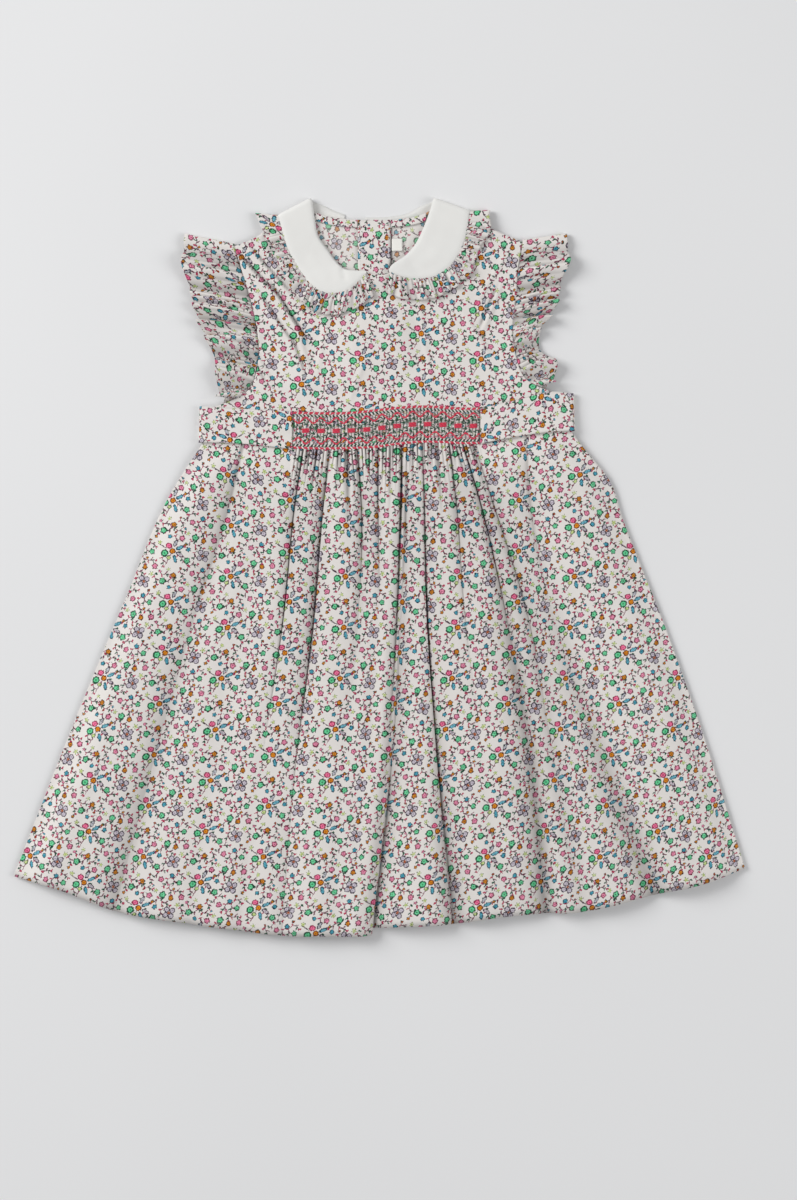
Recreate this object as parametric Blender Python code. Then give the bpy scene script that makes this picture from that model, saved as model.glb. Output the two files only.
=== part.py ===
"""A toddler's short-sleeved dress, laid flat on its back.

It has a smocked waistband, a white Peter Pan collar with a gathered frill, frilled armholes,
a sash at each end of the smocking and a back opening with three buttons.

Tables are in millimetres and the meshes in metres. +X runs to the right, +Y from hem to collar
and +Z up from the surface that the dress lies on. The origin is the middle of the resting area.
"""

import bpy
import numpy as np

MM = 0.001

# ---- Cloth: wall thicknesses and the clearances between layers ----
LAWN = 1.2  # printed cotton lawn with its turnings
WHITE = 1.4  # collar: two layers of white cotton over interfacing
BINDING = 1.0  # neck facing and label
GAP = 0.3  # clearance at a seam or between two layers
LIE_GAP = 0.5  # clearance under a curved piece that lies on a panel
TURN = LAWN + GAP  # how far one layer lifts the next

# ---- Where the back rests on what lies under it ----
NECK_REST_Y = 209.0  # above this it lies on the back of the collar
NECK_RAMP = 30.0
TIE_REST = (80.0, 128.0)  # between these it lies on the tie ends
TIE_RAMP = 28.0
BAND_REST_X = (-17.5, 10.0)  # between these it lies on the buttons
BAND_RAMP = 28.0
FRONT_BAND_Y = 120.0  # above this the front lies over the button band
SHARP_ANGLE = 50.0  # degrees; flatter edges are shaded smooth
FOLD_STEPS = 6  # rows round a fold

# ---- Waist: the waistband's upper and lower edges (x, y) ----
WAIST_TOP = ((-126, 113.2), (-95, 111.5), (-62, 110.7), (-15, 111), (0, 112.7), (12, 114),
             (26, 115), (39, 115), (49, 114.2), (71, 113.7), (108, 120), (136, 123))
WAIST_BOTTOM = ((-126, 90.5), (-95, 89), (-69, 85.6), (-21, 84.6), (-3, 85.5), (12, 87.5),
                (26, 89), (45, 89), (59, 88.2), (72, 88.5), (106, 96), (137, 99))
BACK_WAIST = ((-126, 101), (0, 99), (137, 109))  # the back's waist seam

# ---- Smocking on the waistband ----
SMOCKED_X = (-62.0, 72.0)
SMOCK_PLEATS = 54
SMOCK_RELIEF = 1.3
SMOCK_ROWS = (0.0, 0.27, 0.5, 0.73, 1.0)  # shares of the band's height
SMOCK_PINCH = (0.45, 1.0, 0.6, 1.0, 0.45)  # pleat height left at each row
BAND_PLAIN_COLUMNS = 5

# ---- Front skirt. One row for each side edge and fold, from left to right:
# x where the line crosses the waist, hip, thigh, knee and hem; y of the hem there;
# the share of the skirt's loft that the fold takes away at hip, thigh, knee and hem;
# how far its slope runs to the left and to the right.
SKIRT_STATIONS = (0.0, 0.12, 0.35, 0.65, 1.0)
SKIRT_LINES = (
    ("side_left", -126, -150, -181, -220, -263, -222.8, 0.0, 0.0, 0.0, 0.0, 5, 5),
    ("side_soft", -113, -130, -158, -191, -229, -232.2, 0.1, 0.2, 0.1, 0.2, 9, 9),
    ("hip_left", -98, -107, -130, -159, -190, -247.3, 0.7, 0.5, 0.6, 0.7, 8, 6),
    ("left_ripple", -72, -80, -99, -118, -136, -256.0, 0.2, 0.1, 0.1, 0.3, 9, 9),
    ("thin_left", -55, -61, -69, -84, -100, -261.0, 0.6, 0.3, 0.1, 0.2, 4, 8),
    ("deep_left", -36, -40, -55, -65, -70, -264.6, 0.9, 0.9, 0.2, 0.3, 6, 4),
    ("left_centre", -16, -13, -15, -25, -36, -265.3, 0.8, 0.5, 0.1, 0.2, 5, 6),
    ("short_centre", -1, -1, 0, -9, -20, -265.3, 0.6, 0.2, 0.1, 0.0, 4, 4),
    ("pleat_edge", 16, 15, 12, 5, -8, -264.6, 0.2, 0.1, 0.1, 0.0, 3, 2),
    ("pleat_under", 20, 19, 16, 9, -5, -259.6, 0.7, 0.6, 0.7, 0.9, 2, 7),
    ("sharp_right", 31, 32, 34, 41, 53, -256.7, 0.6, 0.5, 0.7, 1.0, 2, 7),
    ("soft_right", 50, 55, 61, 74, 87, -251.6, 0.7, 0.3, 0.1, 0.2, 5, 7),
    ("fan_inner", 60, 72, 90, 108, 120, -248.8, 0.8, 0.8, 0.8, 0.9, 6, 3),
    ("fan_outer", 68, 81, 105, 124, 147, -247.3, 0.7, 0.6, 0.2, 0.1, 5, 6),
    ("hip_right", 105, 107, 121, 154, 198, -235.8, 0.5, 0.4, 0.4, 0.7, 9, 7),
    ("side_ripple", 124, 138, 163, 195, 232, -227.9, 0.1, 0.1, 0.1, 0.2, 9, 9),
    ("side_right", 137, 161, 193, 228, 263, -217.1, 0.0, 0.0, 0.0, 0.0, 5, 5),
)
SKIRT_LOFT = (0.0, 4.0, 6.0, 7.5, 8.5)  # at the five stations
SKIRT_STEPS = (0.0, 0.14, 0.48, 0.84)  # columns between one line and the next
SKIRT_ROWS = 15
SIDE_RUN = 26.0  # the loft dies away over this distance from a side edge
ELBOW = (5.0, 0.12, 0.06)  # the right side pushes out at the hip: how far, at which share, reach
SKIRT_ROW_CROWDING = 1.15  # over 1 brings the rows together at the waist
GATHER_RISE = 0.9  # small gathers between the folds, just under the smocking
GATHER_RUN = 0.16  # share of the skirt's length over which they die away
GATHER_INSET = 6.0  # they stop this far inside the smocking's ends

# ---- Back skirt ----
BACK_FOLDS = ((-88, -150, 1.6), (-62, -104, 1.2), (-40, -62, 1.7), (-19, -30, 1.3),
              (6, 4, 1.6), (27, 38, 1.1), (50, 80, 1.7), (78, 124, 1.3), (104, 172, 1.5))
BACK_FOLD_RISE = 1.8  # most that a back fold rises
BACK_FOLD_WIDTH = (5.0, 11.0)  # at the waist and at the hem
BACK_INSET = 1.2  # the back lies this far inside the front at the sides
BACK_HEM_SHORT = 3.0
BACK_COLUMNS = 28

# ---- Bodice (x, y). The collar and its frill fold over the shoulder just outside this line ----
SHOULDER_LEFT = ((-104, 230), (-88, 237), (-80, 243), (-72, 248), (-51, 260.5))
SHOULDER_RIGHT = ((41, 260.5), (63, 251), (75, 245.5), (80, 243), (103, 233))
FRONT_NECK = ((-51, 260.5), (-48.3, 249), (-45.5, 236), (-36, 221.5), (-27, 212.5), (-9, 210.3),
              (7, 210.8), (11, 215), (18, 219.5), (27, 229), (33.4, 242), (38.3, 255), (41, 260.5))
BACK_NECK = ((-51, 260.5), (-48, 255.5), (-42, 252.8), (-36, 251.2), (-21, 249.4), (-5, 249),
             (15, 249.6), (28, 252), (34, 254.5), (39, 257.8), (41, 260.5))
ARMHOLE_LEFT = ((-122, 113.6), (-111, 117.5), (-94, 127), (-87, 149), (-88, 170), (-95, 199),
                (-104, 230))
ARMHOLE_RIGHT = ((134, 123.1), (120, 127), (105, 135), (98, 152), (96, 170), (98, 192),
                 (100, 213), (103, 233))
BODICE_CREASES = ((-105, 226, -52, 154, 1.5, 5), (-97, 183, -86, 160, 1.2, 5),
                  (-20, 176, 24, 168, 0.7, 10), (62, 176, 84, 140, 0.9, 7),
                  (-60, 150, -52, 122, 0.8, 8))  # from (x, y) to (x, y), rise, half width
BODICE_COLUMNS = 24
BODICE_ROWS = 14
TOP_SHARES = (0.0, 0.25, 0.75, 1.0)  # columns kept for one shoulder, the neck, the other shoulder
BODICE_PUFF = 1.2  # the front bodice lies this much higher between its seams
PUFF_X = (-50.0, 55.0, 30.0)  # full height between the first two, dying away over the third
PUFF_Y = (150.0, 190.0, 35.0)

# ---- Back opening ----
BAND_X = (-15.5, 8.0)  # button band on the inside of the back
BAND_FOOT_Y = 119.0
BUTTON_Y = (136.0, 166.0, 196.0)
BUTTON_RADIUS = 4.7
BUTTON_THICK = 1.2
BUTTON_RIM = 0.35
BUTTON_SIDES = 16
BAND_GRID = (13, 4)
FACING_WIDTH = 5.5
FACING_ENDS = (-46.5, 33.5)
FACING_COLUMNS = 13
LABEL_CORNER = (8.9, 226.6)
LABEL_SIZE = (7.6, 9.0)

# ---- Collar. One row for each section: the neck edge (x, y), then the outer edge (x, y) ----
COLLAR_LEFT = ((-9, 212, -9.5, 210), (-17, 212.3, -18, 201.5), (-25, 213.5, -28, 196.5),
               (-31, 218.5, -38, 196.3), (-37, 227, -48.5, 201.5), (-43.6, 236.5, -57.5, 213),
               (-46.4, 249.5, -67, 231.5), (-48.2, 262.5, -71.9, 250))
COLLAR_LEFT_BACK = ((-48.2, 262.5, -71.9, 250), (-40.5, 259.8, -66, 238), (-33, 256.3, -52, 227),
                    (-27, 254, -38, 222), (-25, 253.3, -26, 224))
COLLAR_RIGHT = ((6.8, 213, 7, 211), (8.6, 216, 16.2, 208.2), (12.5, 219, 26, 206.3),
                (19, 223.5, 38, 207.8), (25.5, 231, 49.3, 214.2), (31.3, 242.3, 58, 226.4),
                (36.4, 256, 63, 242), (38.4, 262.43, 64.4, 253.1))
COLLAR_RIGHT_BACK = ((38.4, 262.43, 64.4, 253.1), (30.5, 259.6, 58, 240), (20, 254, 44, 227),
                     (6, 251.6, 25, 220), (-5, 251.2, 5, 218.5), (-10, 251.2, -9, 221))
COLLAR_COLUMNS = 4
COLLAR_ROWS = (19, 11)  # front and back

# ---- Collar frills: seam with the collar's outer edge, then the free edge ----
FRILL_WIDE_LEFT = ((-4, 194), (-17, 185), (-31, 180.5), (-47, 183), (-57, 191.5), (-69, 210),
                   (-80, 232), (-88, 251.8))
FRILL_WIDE_LEFT_BACK = ((-88, 251.8), (-79, 232), (-62, 215), (-44, 209.5), (-31, 209.8),
                        (-21.5, 214))
FRILL_WIDE_RIGHT = ((6, 195), (22, 191), (37, 192.3), (54, 199.5), (65, 210.5), (73, 230),
                    (80, 242), (79, 253.8))
FRILL_WIDE_RIGHT_BACK = ((79, 253.8), (70, 234), (52, 215.5), (28, 209), (2, 208), (-14, 211))
FRILL_SEAM = 0.4  # clearance at a frill's curved seam
FRILL_WAVE_POINTS = 4  # rows of the mesh to a wave
FRILL_END = 0.12  # share of the frill over which the waves die away at the shoulder
WAVE_DRIFT = (0.35, 2.3, 0.6)  # uneven spacing of the waves: size, cycles, phase
WAVE_SWELL = (0.25, 3.7, 1.1)  # uneven height: size, cycles, phase
COLLAR_FRILL_WAVES = 13
COLLAR_FRILL_COLUMNS = 2
COLLAR_FRILL_RISE = 2.2

# ---- Armhole frills: the free edge from the underarm up to the shoulder ----
ARM_EDGE_LEFT = ((-117, 117.5), (-116.5, 129), (-118, 141), (-121, 153), (-126, 166),
                 (-131, 178), (-134, 188), (-138, 202), (-142, 222), (-140, 237.5))
ARM_EDGE_RIGHT = ((125, 128), (126.5, 135), (127, 146), (117, 156), (116, 170), (123, 180),
                  (129, 192), (132, 206), (136.5, 220), (135, 237.5))
ARM_BACK_INSET = 5.0  # the hidden back half of the frill is this much narrower
ARM_FRILL_START = 2  # rows of the bodice that the frill leaves free at the underarm
ARM_FRILL_WAVES = 9
ARM_FRILL_COLUMNS = 4
ARM_FRILL_RISE = 5.0

# ---- Sash. One row for each section from the smocking outwards: x, upper y, lower y ----
SASH_LEFT = ((-62.5, 111.4, 84.3), (-95, 113, 87.8), (-115, 114.2, 89), (-126.8, 115, 89))
SASH_RIGHT = ((72.5, 113.6, 88.2), (106, 121.3, 94.5), (124, 125.6, 96.8), (137.3, 124.4, 97.5))
TIE_LEFT = ((-126.8, 115, 89), (-100, 114, 89), (-60, 113, 88), (-24, 112, 88))
TIE_RIGHT = ((137.3, 124.4, 97.5), (110, 122.5, 97), (70, 120, 95), (22, 117, 93))
TIE_POINT = 9.0  # how far the tie's end slants
SASH_ROWS, TIE_ROWS, SASH_POINTS = 11, 13, 5


# ---------------------------------------------------------------- curves and patches
def ramp(value):
    """Smooth step from 0 to 1 as the value goes from 0 to 1."""
    value = np.clip(value, 0.0, 1.0)
    return value * value * (3.0 - 2.0 * value)


def curve(table, share):
    """Points on a smooth curve through the table's rows, at shares of its length."""
    points = np.asarray(table, float)
    steps = np.linalg.norm(np.diff(points, axis=0), axis=1)
    knots = np.concatenate([[0.0], np.cumsum(steps)]) / steps.sum()
    slopes = np.gradient(points, knots, axis=0)
    share = np.clip(np.asarray(share, float), 0.0, 1.0)
    span = np.clip(np.searchsorted(knots, share, side="right") - 1, 0, len(steps) - 1)
    width = (knots[span + 1] - knots[span])[..., None]
    local = ((share - knots[span])[..., None]) / width
    start, end = points[span], points[span + 1]
    rise, fall = slopes[span] * width, slopes[span + 1] * width
    return (start * (1 + 2 * local) * (1 - local) ** 2 + rise * local * (1 - local) ** 2
            + end * local ** 2 * (3 - 2 * local) + fall * local ** 2 * (local - 1))


def chain(tables, breaks):
    """One edge out of several curves, each taking its share between two breaks."""
    def along(share):
        pieces = []
        for table, start, end in zip(tables, breaks, breaks[1:]):
            inside = share[(share >= start - 1e-9) & ((share < end - 1e-9) | (end == breaks[-1]))]
            pieces.append(curve(table, (inside - start) / (end - start)))
        return np.concatenate(pieces)
    return along


def height_at(table, x):
    """The y of a left-to-right curve at each x."""
    points = curve(table, np.linspace(0.0, 1.0, 240))
    return np.interp(x, points[:, 0], points[:, 1])


def coons(bottom, top, left, right, columns, rows):
    """A patch (rows, columns, 2) between four edges, each a function of the share along it."""
    u = np.linspace(0.0, 1.0, columns + 1)
    v = np.linspace(0.0, 1.0, rows + 1)
    low, high, near, far = bottom(u)[None], top(u)[None], left(v)[:, None], right(v)[:, None]
    u, v = u[None, :, None], v[:, None, None]
    corners = ((1 - u) * (1 - v) * low[:, :1] + u * (1 - v) * low[:, -1:]
               + (1 - u) * v * high[:, :1] + u * v * high[:, -1:])
    return (1 - v) * low + v * high + (1 - u) * near + u * far - corners


def bump(x, y, line, width):
    """1 along a straight line from (x, y) to (x, y), dying away to its sides and ends."""
    start, end = np.array(line[:2], float), np.array(line[2:], float)
    run = end - start
    length = np.linalg.norm(run)
    along = ((x - start[0]) * run[0] + (y - start[1]) * run[1]) / length ** 2
    aside = ((x - start[0]) * run[1] - (y - start[1]) * run[0]) / length
    ends = ramp((along + 0.1) / 0.35) * ramp((1.1 - along) / 0.35)
    return np.exp(-(aside / width) ** 2) * ends


# ---------------------------------------------------------------- levels of the layers
def over(value, low, high, run):
    """1 between low and high, falling to 0 over the run on each side."""
    return ramp(1 + (value - low) / run) * ramp(1 + (high - value) / run)


def back_level(x, y):
    """Underside of the back: on the floor, or lifted by what lies under it."""
    collar = ramp(1 + (y - NECK_REST_Y) / NECK_RAMP)
    ties = over(y, *TIE_REST, TIE_RAMP)
    buttons = over(x, *BAND_REST_X, BAND_RAMP) * ramp(1 + (y - TIE_REST[0]) / TIE_RAMP)
    return TURN * np.maximum(np.maximum(collar, ties), buttons)


def front_level(x, y):
    """Underside of the front, one layer above the back and two above the button band."""
    band = over(x, *BAND_REST_X, BAND_RAMP) * ramp(1 + (y - FRONT_BAND_Y) / TIE_RAMP)
    return back_level(x, y) + TURN + TURN * band


def bodice_puff(x, y):
    """The front bodice's lift between its seams."""
    return BODICE_PUFF * over(x, *PUFF_X) * over(y, *PUFF_Y)


def bodice_top(x, y):
    """Upper face of the front bodice with its creases."""
    rise = sum(row[4] * bump(x, y, row[:4], row[5]) for row in BODICE_CREASES)
    return front_level(x, y) + bodice_puff(x, y) + LAWN + rise


# ---------------------------------------------------------------- meshes
def add_piece(name, points, faces, finish):
    """One closed piece, from points in millimetres."""
    mesh = bpy.data.meshes.new(name)
    mesh.from_pydata((np.asarray(points) * MM).tolist(), [], faces)
    mesh.materials.append(finish)
    mesh.shade_smooth()
    mesh.set_sharp_from_angle(angle=np.radians(SHARP_ANGLE))
    piece = bpy.data.objects.new(name, mesh)
    bpy.context.scene.collection.objects.link(piece)
    return piece


def strip(first, second):
    """Quads between two rows of point numbers."""
    return [(a, b, d, c) for a, b, c, d in zip(first, first[1:], second, second[1:])]


def closed_wall(name, lower, upper, finish):
    """A wall between a lower and an upper grid (rows, columns, 3), closed round its edge.

    Rows run up the piece and columns to the right, seen from above.
    """
    rows, columns = upper.shape[:2]
    top = np.arange(rows * columns).reshape(rows, columns)
    low = top + rows * columns
    faces = []
    for row in range(rows - 1):
        faces += strip(top[row].tolist(), top[row + 1].tolist())
        faces += strip(low[row + 1].tolist(), low[row].tolist())
    faces += strip(low[0].tolist(), top[0].tolist())
    faces += strip(top[-1].tolist(), low[-1].tolist())
    faces += strip(top[:, 0].tolist(), low[:, 0].tolist())
    faces += strip(low[:, -1].tolist(), top[:, -1].tolist())
    points = np.concatenate([upper.reshape(-1, 3), lower.reshape(-1, 3)])
    return add_piece(name, points, faces, finish)


def panel(name, plan, underside, thickness, finish):
    """A wall over a plan (rows, columns, 2) from its underside's heights, thickness upright."""
    lower = np.dstack([plan, underside])
    upper = np.dstack([plan, underside + thickness])
    return closed_wall(name, lower, upper, finish)


def folded_wall(name, middle, thickness, finish):
    """A wall of even thickness on both sides of a middle surface (rows, columns, 3)."""
    across = np.gradient(middle, axis=1)
    along = np.gradient(middle, axis=0)
    normal = np.cross(across, along)
    normal /= np.linalg.norm(normal, axis=2, keepdims=True)
    half = thickness / 2 * normal
    return closed_wall(name, middle - half, middle + half, finish)


def outward_of(line, inside):
    """Unit direction square to a fold line in plan, away from a point inside the piece."""
    run = line[-1] - line[0]
    outward = np.array([-run[1], run[0]]) / np.linalg.norm(run)
    return outward if np.dot(outward, line.mean(axis=0) - inside) > 0 else -outward


def over_fold(front, front_height, back, back_height, outward, steps):
    """A strip that runs up the front, round a fold and down the back.

    front and back are plans (rows, columns, 2) whose meeting rows agree: the fold line.
    The heights are those of the strip's middle. The fold's round, as deep as the two
    layers need, reaches outward past the fold line.
    """
    line = front[-1]
    radius = (front_height[-1] - back_height[0]) / 2
    centre = (front_height[-1] + back_height[0]) / 2
    rounded = []
    for angle in np.linspace(0.0, np.pi, steps + 1)[1:-1]:
        reach = line + outward * (radius * np.sin(angle))[:, None]
        rounded.append(np.column_stack([reach, centre + radius * np.cos(angle)]))
    return np.concatenate([np.dstack([front, front_height]), rounded,
                           np.dstack([back, back_height])])


# ---------------------------------------------------------------- finishes
def add_finish(name, colour, roughness):
    """A dyed or printed cloth or button finish."""
    finish = bpy.data.materials.new(name)
    finish.use_nodes = True
    shader = finish.node_tree.nodes["Principled BSDF"]
    shader.inputs["Base Color"].default_value = (*colour, 1.0)
    shader.inputs["Roughness"].default_value = roughness
    shader.inputs["Metallic"].default_value = 0.0
    return finish


# ---------------------------------------------------------------- pieces
def skirt_line_tables():
    """Fold table as arrays: x at the stations, hem y, fold shares and runs."""
    rows = np.array([line[1:] for line in SKIRT_LINES], float)
    return rows[:, :5], rows[:, 5], rows[:, 6:10], rows[:, 10:]


def skirt_plan(columns, down):
    """Plan of the skirt (rows, columns, 2): columns in fold lines, down from waist to hem."""
    across, hem, _, _ = skirt_line_tables()
    lines = np.arange(len(SKIRT_LINES))
    x = np.array([np.interp(down, SKIRT_STATIONS, row) for row in across])
    x = np.array([np.interp(columns, lines, row) for row in x.T])
    waist_y = height_at(WAIST_BOTTOM, x[0]) - GAP
    hem_y = np.interp(columns, lines, hem)
    y = waist_y + (hem_y - waist_y) * down[:, None]
    out, place, reach = ELBOW
    elbow = out * ramp((columns - lines[-3]) / 2) * np.exp(-((down[:, None] - place) / reach) ** 2)
    return np.dstack([x + elbow, y])


def skirt_rows():
    """Shares of the skirt's length at its rows, closer together near the waist."""
    return np.linspace(0.0, 1.0, SKIRT_ROWS + 1) ** SKIRT_ROW_CROWDING


def skirt_loft(plan, down):
    """Height of the skirt's loft over the layers beneath, dying away at the side edges."""
    x = plan[..., 0]
    side = np.minimum(x - x[:, :1], x[:, -1:] - x)
    return np.interp(down, SKIRT_STATIONS, SKIRT_LOFT)[:, None] * ramp(side / SIDE_RUN)


def build_skirt_front(finish):
    """The gathered front: folds run from the smocking and fan out to the hem."""
    across, _, shares, runs = skirt_line_tables()
    lines = len(SKIRT_LINES)
    columns = np.append((np.arange(lines - 1)[:, None] + SKIRT_STEPS).ravel(), lines - 1)
    down = skirt_rows()
    plan = skirt_plan(columns, down)
    x, y = plan[..., 0], plan[..., 1]
    kept = np.ones_like(x)
    for places, share, (left, right) in zip(across, shares, runs):
        line_x = np.interp(down, SKIRT_STATIONS, places)[:, None]
        cut = np.interp(down, SKIRT_STATIONS[1:], share)[:, None]
        run = np.where(x < line_x, left, right)
        kept *= 1.0 - cut * np.exp(-np.abs(x - line_x) / run)
    loft = skirt_loft(plan, down)
    smocked = over(x, SMOCKED_X[0] + GATHER_INSET, SMOCKED_X[1] - GATHER_INSET, GATHER_INSET)
    gathered = smocked * ramp(1 - down / GATHER_RUN)[:, None]
    gathers = GATHER_RISE * gathered * (0.5 - 0.5 * np.cos(4 * np.pi * columns))
    edge = ramp(loft / SKIRT_LOFT[1])
    base = front_level(x, y) + BACK_FOLD_RISE * edge
    return panel("skirt_front", plan[::-1], (base + loft * kept + gathers)[::-1], LAWN, finish)


def build_skirt_back(finish):
    """The back lies under the front, its underside on the floor but for low folds."""
    last = len(SKIRT_LINES) - 1
    columns = np.linspace(0.0, last, BACK_COLUMNS + 1)
    down = np.insert(skirt_rows(), 0, 0.0)
    plan = skirt_plan(columns, down)
    plan[..., 0] += np.interp(columns, (0, 1, last - 1, last), (1, 0, 0, -1)) * BACK_INSET
    plan[..., 1] += BACK_HEM_SHORT * down[:, None] ** 4
    plan[0, :, 1] = height_at(BACK_WAIST, plan[0, :, 0]) - GAP
    x, y = plan[..., 0], plan[..., 1]
    width = (BACK_FOLD_WIDTH[0] + (BACK_FOLD_WIDTH[1] - BACK_FOLD_WIDTH[0]) * down)[:, None]
    rise = np.zeros_like(x)
    for waist_x, hem_x, height in BACK_FOLDS:
        line_x = (waist_x + (hem_x - waist_x) * down)[:, None]
        rise = np.maximum(rise, height * np.exp(-((x - line_x) / width) ** 2))
    edge = ramp(skirt_loft(plan, down) / SKIRT_LOFT[1])
    return panel("skirt_back", plan[::-1], (back_level(x, y) + rise * edge)[::-1], LAWN, finish)


def build_waistband(finish):
    """Waist inset: smocked pleats raised outside over a plain inside, plain under the sash."""
    start, end = WAIST_TOP[0][0], WAIST_TOP[-1][0]
    pleats = np.linspace(*SMOCKED_X, 3 * SMOCK_PLEATS + 1)
    x = np.concatenate([np.linspace(start, SMOCKED_X[0], BAND_PLAIN_COLUMNS + 1)[:-1], pleats,
                        np.linspace(SMOCKED_X[1], end, BAND_PLAIN_COLUMNS + 1)[1:]])
    phase = np.interp(x, SMOCKED_X, (0.0, SMOCK_PLEATS))
    pleat = np.where((x > SMOCKED_X[0]) & (x < SMOCKED_X[1]), np.abs(np.sin(np.pi * phase)), 0.0)
    low, high = height_at(WAIST_BOTTOM, x), height_at(WAIST_TOP, x)
    rows = [np.column_stack([x, low + (high - low) * share]) for share in SMOCK_ROWS]
    plan = np.array(rows)
    base = front_level(x[None], plan[..., 1])
    outside = base + LAWN + SMOCK_RELIEF * pleat * np.array(SMOCK_PINCH)[:, None]
    upper = np.dstack([plan, outside])
    edges = [0, -1]
    inside = np.dstack([plan[edges], base[edges]])
    return plain_backed("smocked_waistband", inside, upper, finish)


def plain_backed(name, inside, upper, finish):
    """A wall with a finely shaped upper grid over an inside of only two rows."""
    rows, columns = upper.shape[:2]
    top = np.arange(rows * columns).reshape(rows, columns)
    low = rows * columns + np.arange(2 * columns).reshape(2, columns)
    faces = strip(low[1].tolist(), low[0].tolist())
    for row in range(rows - 1):
        faces += strip(top[row].tolist(), top[row + 1].tolist())
    faces += strip(low[0].tolist(), top[0].tolist())
    faces += strip(top[-1].tolist(), low[1].tolist())
    faces.append((low[0, 0], *top[:, 0].tolist(), low[1, 0]))
    faces.append((low[0, -1], *top[:, -1].tolist(), low[1, -1])[::-1])
    points = np.concatenate([upper.reshape(-1, 3), inside.reshape(-1, 3)])
    return add_piece(name, points, [tuple(int(n) for n in face) for face in faces], finish)


def build_bodice_front(finish):
    """Front bodice between the armholes, from the waistband up to the shoulders and neck."""
    top = chain((SHOULDER_LEFT, FRONT_NECK, SHOULDER_RIGHT), TOP_SHARES)

    def bottom(share):
        x = ARMHOLE_LEFT[0][0] + (ARMHOLE_RIGHT[0][0] - ARMHOLE_LEFT[0][0]) * share
        return np.column_stack([x, height_at(WAIST_TOP, x) + GAP])

    left = lambda share: curve(ARMHOLE_LEFT, share)
    right = lambda share: curve(ARMHOLE_RIGHT, share)
    plan = coons(bottom, top, left, right, BODICE_COLUMNS, BODICE_ROWS)
    x, y = plan[..., 0], plan[..., 1]
    underside = front_level(x, y) + bodice_puff(x, y)
    return closed_wall("bodice_front", np.dstack([plan, underside]),
                       np.dstack([plan, bodice_top(x, y)]), finish)


def back_half(name, outer_side, top, start_x, end_x, finish):
    """Half of the back bodice, from the waist seam to the back neckline."""
    def bottom(share):
        x = start_x + (end_x - start_x) * share
        return np.column_stack([x, height_at(BACK_WAIST, x)])

    def upright(x):
        foot, head = bottom(np.array([0.0 if x == start_x else 1.0]))[0], height_at(BACK_NECK, x)
        return lambda share: np.column_stack([np.full_like(share, x),
                                              foot[1] + (head - foot[1]) * share])

    def armhole(table):
        foot = bottom(np.array([0.0 if table[0][0] < 0 else 1.0]))[0]
        return lambda share: np.where(share[:, None] > 0, curve(table, share), foot)

    left = armhole(outer_side) if start_x < BAND_X[0] else upright(start_x)
    right = upright(end_x) if start_x < BAND_X[0] else armhole(outer_side)
    plan = coons(bottom, top, left, right, BODICE_COLUMNS // 2, BODICE_ROWS)
    return panel(name, plan, back_level(plan[..., 0], plan[..., 1]), LAWN, finish)


def build_backs(finish):
    """Two halves of the back bodice; the left one runs under the button band."""
    edge = BAND_X[1]
    left_neck = tuple(row for row in BACK_NECK[1:] if row[0] < edge)
    right_neck = tuple(row for row in BACK_NECK[:-1] if row[0] > edge)
    left_neck = (SHOULDER_LEFT[-1],) + left_neck + ((edge, float(height_at(BACK_NECK, edge))),)
    left_top = chain((SHOULDER_LEFT, left_neck), (0.0, 0.5, 1.0))
    right_start = edge + GAP
    right_neck = ((right_start, float(height_at(BACK_NECK, right_start))),) + right_neck + SHOULDER_RIGHT[:1]
    right_top = chain((right_neck, SHOULDER_RIGHT), (0.0, 0.5, 1.0))
    back_half("bodice_back_left", ARMHOLE_LEFT, left_top, ARMHOLE_LEFT[0][0], edge, finish)
    back_half("bodice_back_right", ARMHOLE_RIGHT, right_top, right_start, ARMHOLE_RIGHT[0][0], finish)


def on_back(name, plan, thickness, finish):
    """A piece that lies on the inside of the back: its points moved out from the panel's."""
    inside = back_level(plan[..., 0], plan[..., 1]) + LAWN + GAP
    return panel(name, plan, inside, thickness, finish)


def build_back_opening(lawn, white, pearl):
    """Button band, neck facings, label and buttons of the back opening."""
    rows = np.linspace(0.0, 1.0, BAND_GRID[0])[:, None]
    x = np.linspace(*BAND_X, BAND_GRID[1])[None]
    head = height_at(BACK_NECK, x)
    plan = np.dstack([np.broadcast_to(x, BAND_GRID), BAND_FOOT_Y + (head - BAND_FOOT_Y) * rows])
    on_back("back_placket", plan, LAWN, lawn)
    for side, start, end in (("left", FACING_ENDS[0], BAND_X[0] - GAP),
                             ("right", BAND_X[1] + GAP, FACING_ENDS[1])):
        x = np.linspace(start, end, FACING_COLUMNS)[None]
        plan = np.dstack([np.broadcast_to(x, (2, FACING_COLUMNS)),
                          height_at(BACK_NECK, x) - FACING_WIDTH * np.array([[1.0], [0.0]])])
        on_back(f"neck_facing_{side}", plan, BINDING, lawn)
    x = LABEL_CORNER[0] + LABEL_SIZE[0] * np.linspace(0.0, 1.0, 2)[None]
    y = LABEL_CORNER[1] + LABEL_SIZE[1] * np.linspace(0.0, 1.0, 2)[:, None]
    on_back("label", np.dstack(np.broadcast_arrays(x, y)), BINDING, white)
    for number, y in enumerate(BUTTON_Y, start=1):
        build_button(f"back_button_{number}", sum(BAND_X) / 2, y, pearl)


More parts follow.
